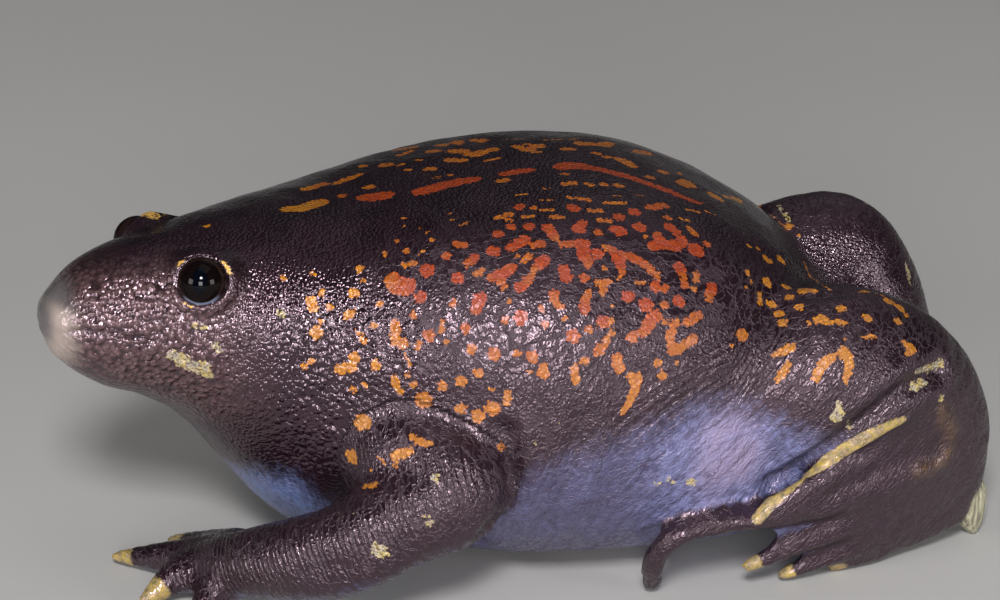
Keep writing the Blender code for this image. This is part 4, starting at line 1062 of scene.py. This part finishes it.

# The dark back, plum limbs and brown face, with painted highlight on the tops of the face's pebbles and
# painted shade in the gaps between them.
colour = blended(t, between(t, coarse, 0.35, 0.65), DARKER, DARK)
plum_amount = sums(t, "MULTIPLY", kept(t, "plum"), between(t, medium, 0.2, 0.8, 0.55, 1.0))
colour = blended(t, plum_amount, colour, PLUM)
face_amount = sums(t, "MULTIPLY", on_face, between(t, medium, 0.25, 0.7, 0.55, 1.0))
colour = blended(t, face_amount, colour, FACE_BROWN)
pebble_top_highlight = sums(t, "MULTIPLY", pebbles["Tops"], between(t, fine, 0.3, 0.6, 0.4, 1.0))
colour = blended(t, part_of(t, sums(t, "MULTIPLY", on_face, pebble_top_highlight), 0.5), colour, FACE_PEBBLE_HIGHLIGHT)
pebble_gap_shade = inverse(t, between(t, pebbles["Height"], 0.12, 0.4))
colour = blended(t, part_of(t, sums(t, "MULTIPLY", on_face, pebble_gap_shade), 0.7), colour, FOLD_SHADE)
# Painted shade in the grooves between the grains.
colour = blended(t, part_of(t, groove_shade, 0.35), colour, DARKER)
heel_amount = sums(t, "MULTIPLY", kept(t, "heel_arc"), between(t, medium, 0.3, 0.7, 0.2, 0.8))
colour = blended(t, heel_amount, colour, HEEL_BROWN)
# Painted shade in the creases.
colour = blended(t, part_of(t, crease, 0.6), colour, DARKER)

# The blue-grey underside, streaked along the grain, with dark veins and a mauve patch at the groin.
blue_tone = blended(t, between(t, medium, 0.3, 0.75), BLUE_GREY, BLUE_PALE)
mauve_amount = sums(t, "MULTIPLY", kept(t, "mauve"), between(t, coarse, 0.3, 0.6, 0.4, 0.9))
blue_tone = blended(t, mauve_amount, blue_tone, MAUVE)
streaky = between(t, sums(t, "ADD", wrinkles, beyond(t, lines, 0.5, 0.35)), 0.46, 0.66)
blue_tone = blended(t, part_of(t, streaky, 0.45), blue_tone, BLUE_DARK)
blue_tone = blended(t, kept(t, "belly_light"), BLUE_DARK, blue_tone)
chest_amount = sums(t, "MULTIPLY", kept(t, "chest"), between(t, coarse, 0.35, 0.6, 0.3, 0.9))
blue_tone = blended(t, chest_amount, blue_tone, CHEST_BLUE)
vein = inverse(t, between(t, vein_net, 0.0, 0.035))
vein = sums(t, "MULTIPLY", vein, between(t, coarse, 0.45, 0.6, 0.0, 0.8))
blue_tone = blended(t, vein, blue_tone, VEIN)
blue_edge = sums(t, "ADD", is_blue, beyond(t, medium, 0.5, 0.5))
blue_edge = sums(t, "SUBTRACT", blue_edge, beyond(t, wrinkles, 0.5, 0.5))
colour = blended(t, between(t, blue_edge, 0.1, 1.1), colour, blue_tone)

# The worn grey snout, and the painted shade inside folds, the mouth, the lids and the nostrils.
snout_amount = between(t, sums(t, "ADD", kept(t, "snout"), beyond(t, medium, 0.5, 0.35)), 0.12, 0.85)
snout_tone = between(t, sums(t, "ADD", kept(t, "snout_light"), beyond(t, coarse, 0.5, 0.5)), 0.1, 0.9)
colour = blended(t, snout_amount, colour, blended(t, snout_tone, SNOUT_DEEP, SNOUT_GREY))
colour = blended(t, part_of(t, kept(t, "painted_shade"), 0.6), colour, FOLD_SHADE)

# Spots follow the grains at their edges, and are redder at their rims; they are darker in scattered specks,
# with painted shade between the grains and in the creases.
ragged = sums(t, "SUBTRACT", beyond(t, clouds(t, mm, 2.2, 3.0, 0.6), 0.5, 0.62),
              beyond(t, small_grains["Height"], 0.45, 0.22))
outside = sums(t, "ADD", kept(t, "spots"), ragged)
in_spot = inverse(t, between(t, outside, -0.03, 0.05))
spot_warmth = sums(t, "ADD", kept(t, "warmth"), beyond(t, medium, 0.5, 0.5), clamp=True)
spot_tone = blended(t, spot_warmth, SPOT_YELLOW, SPOT_RED)
spot_rim = between(t, outside, -0.16, 0.0, 0.0, 0.55)
spot_tone = blended(t, spot_rim, spot_tone, blended(t, 0.5, spot_tone, SPOT_RED))
spot_specks_and_shade = part_of(t, sums(t, "MAXIMUM", groove_shade, between(t, fine, 0.50, 0.66)), 0.65)
spot_specks_and_shade = sums(t, "MAXIMUM", spot_specks_and_shade, part_of(t, crease, 0.7))
spot_tone = blended(t, spot_specks_and_shade, spot_tone, blended(t, 0.6, spot_tone, DARK))
colour = blended(t, in_spot, colour, spot_tone)
in_pale = inverse(t, between(t, sums(t, "ADD", kept(t, "pale_marks"), part_of(t, ragged, 1.5)), -0.06, 0.08))
in_pale = sums(t, "MULTIPLY", in_pale, between(t, fine, 0.40, 0.54, 0.25, 0.9))
colour = blended(t, in_pale, colour, blended(t, between(t, medium, 0.35, 0.65), PALE_YELLOW, PALE_GREY))
in_band = inverse(t, between(t, sums(t, "ADD", kept(t, "toe_band"), part_of(t, ragged, 0.5)), -0.1, 0.12))
on_tips = between(t, sums(t, "SUBTRACT", kept(t, "tips"), part_of(t, ragged, 0.6)), 0.25, 0.6)
in_band = sums(t, "MAXIMUM", in_band, on_tips)
band_tone = blended(t, between(t, medium, 0.36, 0.62), TOE_YELLOW, TOE_OLIVE)
band_tone = blended(t, between(t, fine, 0.46, 0.6, 0.0, 0.75), band_tone, TOE_PINK)
colour = blended(t, in_band, colour, band_tone)
flecks = sums(t, "SUBTRACT", kept(t, "lid_edge"), between(t, clouds(t, mm, 2.6, 2.0), 0.35, 0.65, 0.0, 0.5))
colour = blended(t, between(t, flecks, 0.15, 0.5), colour, GOLD)

# Relief in mm: grains all over, pebbles on the face, blunt facets on the shoulder, fine lines down the
# flanks and round the limbs, waves across the pleats, and creases sunk in.
GRAIN_RISE, FINEST_GRAIN_LESS = 0.10, 0.065
FACET_RISE, PEBBLE_RISE, CRUMPLE_RISE = 0.2, 0.17, 0.12
PLEAT_TURNS, PLEAT_WANDER, PLEAT_SHIFT, PLEAT_RISE, FOLD_WAVE = 11.0, 6.0, 4.0, 0.035, 0.006
WRINKLE_RISE, FOLD_WRINKLE, LINE_RISE = 0.02, 0.05, 0.03
FINE_RISE, FINEST_LESS, CREASE_SINK = 0.03, 0.015, 0.06
SMOOTHED, BAND_SMOOTHED = 0.85, 0.6
on_shoulder = kept(t, "crumpled")
finest = sums(t, "MAXIMUM", sums(t, "MAXIMUM", in_folds, on_shoulder), on_face)
grain_height = sums(t, "SUBTRACT", GRAIN_RISE, part_of(t, finest, FINEST_GRAIN_LESS))
grain_rise = sums(t, "MULTIPLY", small_grains["Height"], grain_height)
facets = part_of(t, sums(t, "MULTIPLY", pebbles["Facets"], on_shoulder), FACET_RISE)
grain_rise = sums(t, "MULTIPLY", sums(t, "ADD", grain_rise, facets), kept(t, "relief"))
pebble_rise = part_of(t, sums(t, "MULTIPLY", pebbles["Height"], on_face), PEBBLE_RISE)
across_pleats = add_node(t, "ShaderNodeSeparateXYZ", {0: along_grain}).outputs["X"]
pleats = sums(t, "ADD", part_of(t, across_pleats, PLEAT_TURNS), part_of(t, wrinkles, PLEAT_WANDER))
pleats = sums(t, "ADD", pleats, part_of(t, medium, PLEAT_SHIFT))
pleated_here = sums(t, "MULTIPLY", kept(t, "pleated"), inverse(t, between(t, is_blue, 0.3, 0.8)))
pleat_height = sums(t, "ADD", part_of(t, pleated_here, PLEAT_RISE), part_of(t, in_folds, FOLD_WAVE))
pleat_rise = sums(t, "MULTIPLY", sums(t, "SINE", pleats), pleat_height)
wrinkle_height = sums(t, "ADD", WRINKLE_RISE, part_of(t, in_folds, FOLD_WRINKLE))
wrinkle_rise = sums(t, "ADD", sums(t, "MULTIPLY", wrinkles, wrinkle_height), pleat_rise)
line_rise = part_of(t, sums(t, "MULTIPLY", lines, in_folds), LINE_RISE)
rise = sums(t, "ADD", sums(t, "ADD", grain_rise, pebble_rise), sums(t, "ADD", wrinkle_rise, line_rise))
fine_height = sums(t, "SUBTRACT", FINE_RISE, part_of(t, finest, FINEST_LESS))
rise = sums(t, "ADD", rise, sums(t, "MULTIPLY", fine, fine_height))
rise = sums(t, "ADD", rise, part_of(t, sums(t, "MULTIPLY", medium, on_shoulder), CRUMPLE_RISE))
rise = sums(t, "SUBTRACT", rise, part_of(t, crease, CREASE_SINK))
smooth_parts = sums(t, "MAXIMUM", snout_amount, part_of(t, in_band, BAND_SMOOTHED))
rise = sums(t, "MULTIPLY", rise, inverse(t, part_of(t, smooth_parts, SMOOTHED)))
bump = add_node(t, "ShaderNodeBump", {"Height": rise, "Strength": 1.0, "Distance": MM})

# Wet all over: duller on the loose skin behind the shoulder, in creases, on spots and on the snout.
WET_ROUGHNESS, ROUGHNESS_VARIES, LOOSE_DULLER, CREASE_DULLER, SPOT_DULLER = 0.10, 0.08, 0.15, 0.5, 0.10
duller = part_of(t, sums(t, "SUBTRACT", is_loose, on_shoulder, clamp=True), LOOSE_DULLER)
sheen = sums(t, "ADD", WET_ROUGHNESS, part_of(t, medium, ROUGHNESS_VARIES))
sheen = sums(t, "ADD", sheen, duller)
sheen = sums(t, "ADD", sheen, part_of(t, crease, CREASE_DULLER))
sheen = sums(t, "ADD", sheen, part_of(t, sums(t, "MAXIMUM", in_spot, snout_amount), SPOT_DULLER))
surfaced(t, {
    "Base Color": colour,
    "Roughness": sheen,
    "Normal": bump.outputs[0],
    "Specular IOR Level": 1.0,
    "Specular Tint": (1.0, 0.74, 0.86, 1.0),
})
skin.data.materials.clear()
skin.data.materials.append(wet_skin)
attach(skin, "root")
sides = ("left", "right")
limbs = ("upper_arm", "forearm", "hand", "thigh", "shank", "foot")
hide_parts("torso", "head", *[f"{name}_{side}" for name in limbs for side in sides])

# The eyes are two glossy balls, nearly black: a dark brown iris with a few gold flecks and an upright pupil,
# under a clear wet cornea, with a painted bluish reflection along the lower rim. Each sits where its packed
# ball does, turned to look out of its lids.
EYE_STEPS = 48
PUPIL_WIDE, PUPIL_TALL = 0.30, 0.55
PUPIL_BLACK, IRIS_BROWN, IRIS_FLECK = (0.001, 0.0015, 0.003), (0.003, 0.0016, 0.0018), (0.010, 0.005, 0.003)
RING_BROWN, RIM_REFLECTION_BLUE = (0.014, 0.007, 0.006), (0.16, 0.19, 0.28)

glossy_eye, t = new_finish("glossy_eye")
ahead = kept(t, "ahead")
sideways = kept(t, "sideways")
upward = kept(t, "upward")
fibres = clouds(t, surface_in_mm(t), 5.0, 4.0, 0.65)
pupil = sums(t, "ADD", sums(t, "POWER", sums(t, "DIVIDE", sums(t, "ABSOLUTE", sideways), PUPIL_WIDE), 2.0),
             sums(t, "POWER", sums(t, "DIVIDE", sums(t, "ABSOLUTE", upward), PUPIL_TALL), 2.0))
iris = blended(t, between(t, fibres, 0.5, 0.75), IRIS_BROWN, IRIS_FLECK)
colour = blended(t, between(t, pupil, 0.9, 1.15), PUPIL_BLACK, iris)
colour = blended(t, between(t, ahead, 0.60, 0.50), colour, RING_BROWN)
# Painted bluish reflection along the lower rim of the ball.
low_rim_reflection = sums(t, "MULTIPLY", between(t, ahead, 0.50, 0.46), between(t, upward, -0.5, -0.8))
colour = blended(t, low_rim_reflection, colour, RIM_REFLECTION_BLUE)
surfaced(t, {
    "Base Color": colour,
    "Roughness": 0.3,
    "Specular IOR Level": 0.0,
    "Coat Weight": 0.3,
    "Coat Roughness": 0.02,
})

for name, side in zip(sides, (-1, 1)):
    centre, look = eye_place(side)
    middle = Vector(origin) + centre * MM
    bm = bmesh.new()
    bmesh.ops.create_uvsphere(bm, u_segments=EYE_STEPS, v_segments=EYE_STEPS // 2, radius=EYE_RADIUS * MM)
    turn = look.to_track_quat("Z", "Y").to_matrix().to_4x4()
    bmesh.ops.transform(bm, matrix=turn, verts=bm.verts)
    bmesh.ops.translate(bm, vec=middle, verts=bm.verts)
    ball = bpy.data.meshes.new(f"eyeball_{name}")
    bm.to_mesh(ball)
    bm.free()
    ball.shade_smooth()
    eyeball = bpy.data.objects.new(f"eyeball_{name}", ball)
    bpy.context.scene.collection.objects.link(eyeball)
    from_middle = np.array([(v.co - middle)[:] for v in ball.vertices]) / (EYE_RADIUS * MM)
    up = (Vector((0, 0, 1)) - look * look.z).normalized()
    for attribute, way in (("ahead", look), ("upward", up), ("sideways", look.cross(up))):
        values = from_middle @ np.array(way)
        ball.attributes.new(attribute, "FLOAT", "POINT").data.foreach_set("value", values)
    ball.materials.append(glossy_eye)
    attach(eyeball, "root")
    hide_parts(f"eye_{name}")

# The spades are horny shovels on the heels, pale and ribbed lengthwise, with a worn rounded edge.
HORN, HORN_DARK = (0.42, 0.40, 0.27), (0.16, 0.14, 0.10)
RIBS_PER_MM, RIB_RISE = (3.2, 3.2, 0.35), 0.16

horn, t = new_finish("ribbed_horn")
mm = surface_in_mm(t)
ribs = clouds(t, vectors(t, "MULTIPLY", mm, RIBS_PER_MM), 1.0, 3.0, 0.6)
wear = clouds(t, mm, 0.8, 3.0)
colour = blended(t, between(t, ribs, 0.35, 0.65), HORN_DARK, HORN)
colour = blended(t, between(t, wear, 0.55, 0.75, 0.0, 0.6), colour, HORN_DARK)
bump = add_node(t, "ShaderNodeBump", {"Height": part_of(t, ribs, RIB_RISE), "Distance": MM})
surfaced(t, {
    "Base Color": colour,
    "Roughness": between(t, wear, 0.3, 0.7, 0.28, 0.45),
    "Normal": bump.outputs[0],
})
for side in sides:
    solid = bpy.data.objects[f"spade_{side}"]
    solid.data.materials.clear()
    solid.data.materials.append(horn)

# The floor is plain and pale.
FLOOR_HALF = 3.0
FLOOR_GREY, FLOOR_PALE, FLOOR_ROUGHNESS = (0.44, 0.43, 0.42), (0.48, 0.47, 0.455), 0.8
floor_mesh = bpy.data.meshes.new("floor")
bm = bmesh.new()
bmesh.ops.create_grid(bm, x_segments=1, y_segments=1, size=FLOOR_HALF)
bm.to_mesh(floor_mesh)
bm.free()
floor = bpy.data.objects.new("floor", floor_mesh)
bpy.context.scene.collection.objects.link(floor)
pale_floor, t = new_finish("pale_floor")
floor_colour = blended(t, clouds(t, surface_in_mm(t), 0.02), FLOOR_GREY, FLOOR_PALE)
surfaced(t, {"Base Color": floor_colour, "Roughness": FLOOR_ROUGHNESS})
floor_mesh.materials.append(pale_floor)

# Four small soft boxes stand on the camera's side, one high, one low, one before the snout and one
# behind the legs, so that the wet skin glints. A weak one behind draws the edge of the back, and a
# broad one overhead lifts the rest. Each is a square panel turned to the toad, in metres and watts.
LIGHTS = (
    # name, azimuth, height in degrees, distance, width, power
    ("key", -12.0, 38.0, 0.80, 0.14, 5.5),
    ("low", -14.0, 12.0, 0.80, 0.24, 3.0),
    ("front", -62.0, 14.0, 0.80, 0.28, 1.8),
    ("rear", 42.0, 12.0, 0.80, 0.28, 1.8),
    ("edge", 150.0, 38.0, 1.00, 0.60, 0.25),
    ("top", 60.0, 80.0, 1.10, 0.80, 0.8),
)
ROOM_COLOUR, ROOM_LIGHT = (0.9, 0.93, 1.0, 1.0), 0.03
middle = Vector((LOOK_AT * MM + origin).tolist())
for name, azimuth, rise, distance, width, power in LIGHTS:
    azimuth, rise = math.radians(azimuth), math.radians(rise)
    way = Vector(
        (math.sin(azimuth) * math.cos(rise), -math.cos(azimuth) * math.cos(rise), math.sin(rise))
    )
    lamp = bpy.data.lights.new(name, "AREA")
    lamp.size = width
    lamp.energy = power
    lamp_object = bpy.data.objects.new(name, lamp)
    lamp_object.location = middle + way * distance
    lamp_object.rotation_euler = way.to_track_quat("Z", "Y").to_euler()
    bpy.context.scene.collection.objects.link(lamp_object)
world = bpy.data.worlds.new("studio")
world.use_nodes = True
world.node_tree.nodes["Background"].inputs["Color"].default_value = ROOM_COLOUR
world.node_tree.nodes["Background"].inputs["Strength"].default_value = ROOM_LIGHT
bpy.context.scene.world = world
bpy.context.scene.view_settings.view_transform = "Standard"

# The camera looks at the toad as laid down at the start.
camera = bpy.data.cameras.new("camera")
camera.sensor_width = 36.0
camera.lens = camera.sensor_width * VIEW_DISTANCE * PIXELS_PER_MM / PICTURE_WIDTH
camera.clip_start = 0.01
camera_object = bpy.data.objects.new("camera", camera)
camera_object.matrix_world = Matrix.Translation(Vector((view_from * MM + origin).tolist())) @ Matrix(
    (view_right.tolist(), view_up.tolist(), view_back.tolist())
).transposed().to_4x4()
bpy.context.scene.collection.objects.link(camera_object)
bpy.context.scene.camera = camera_object
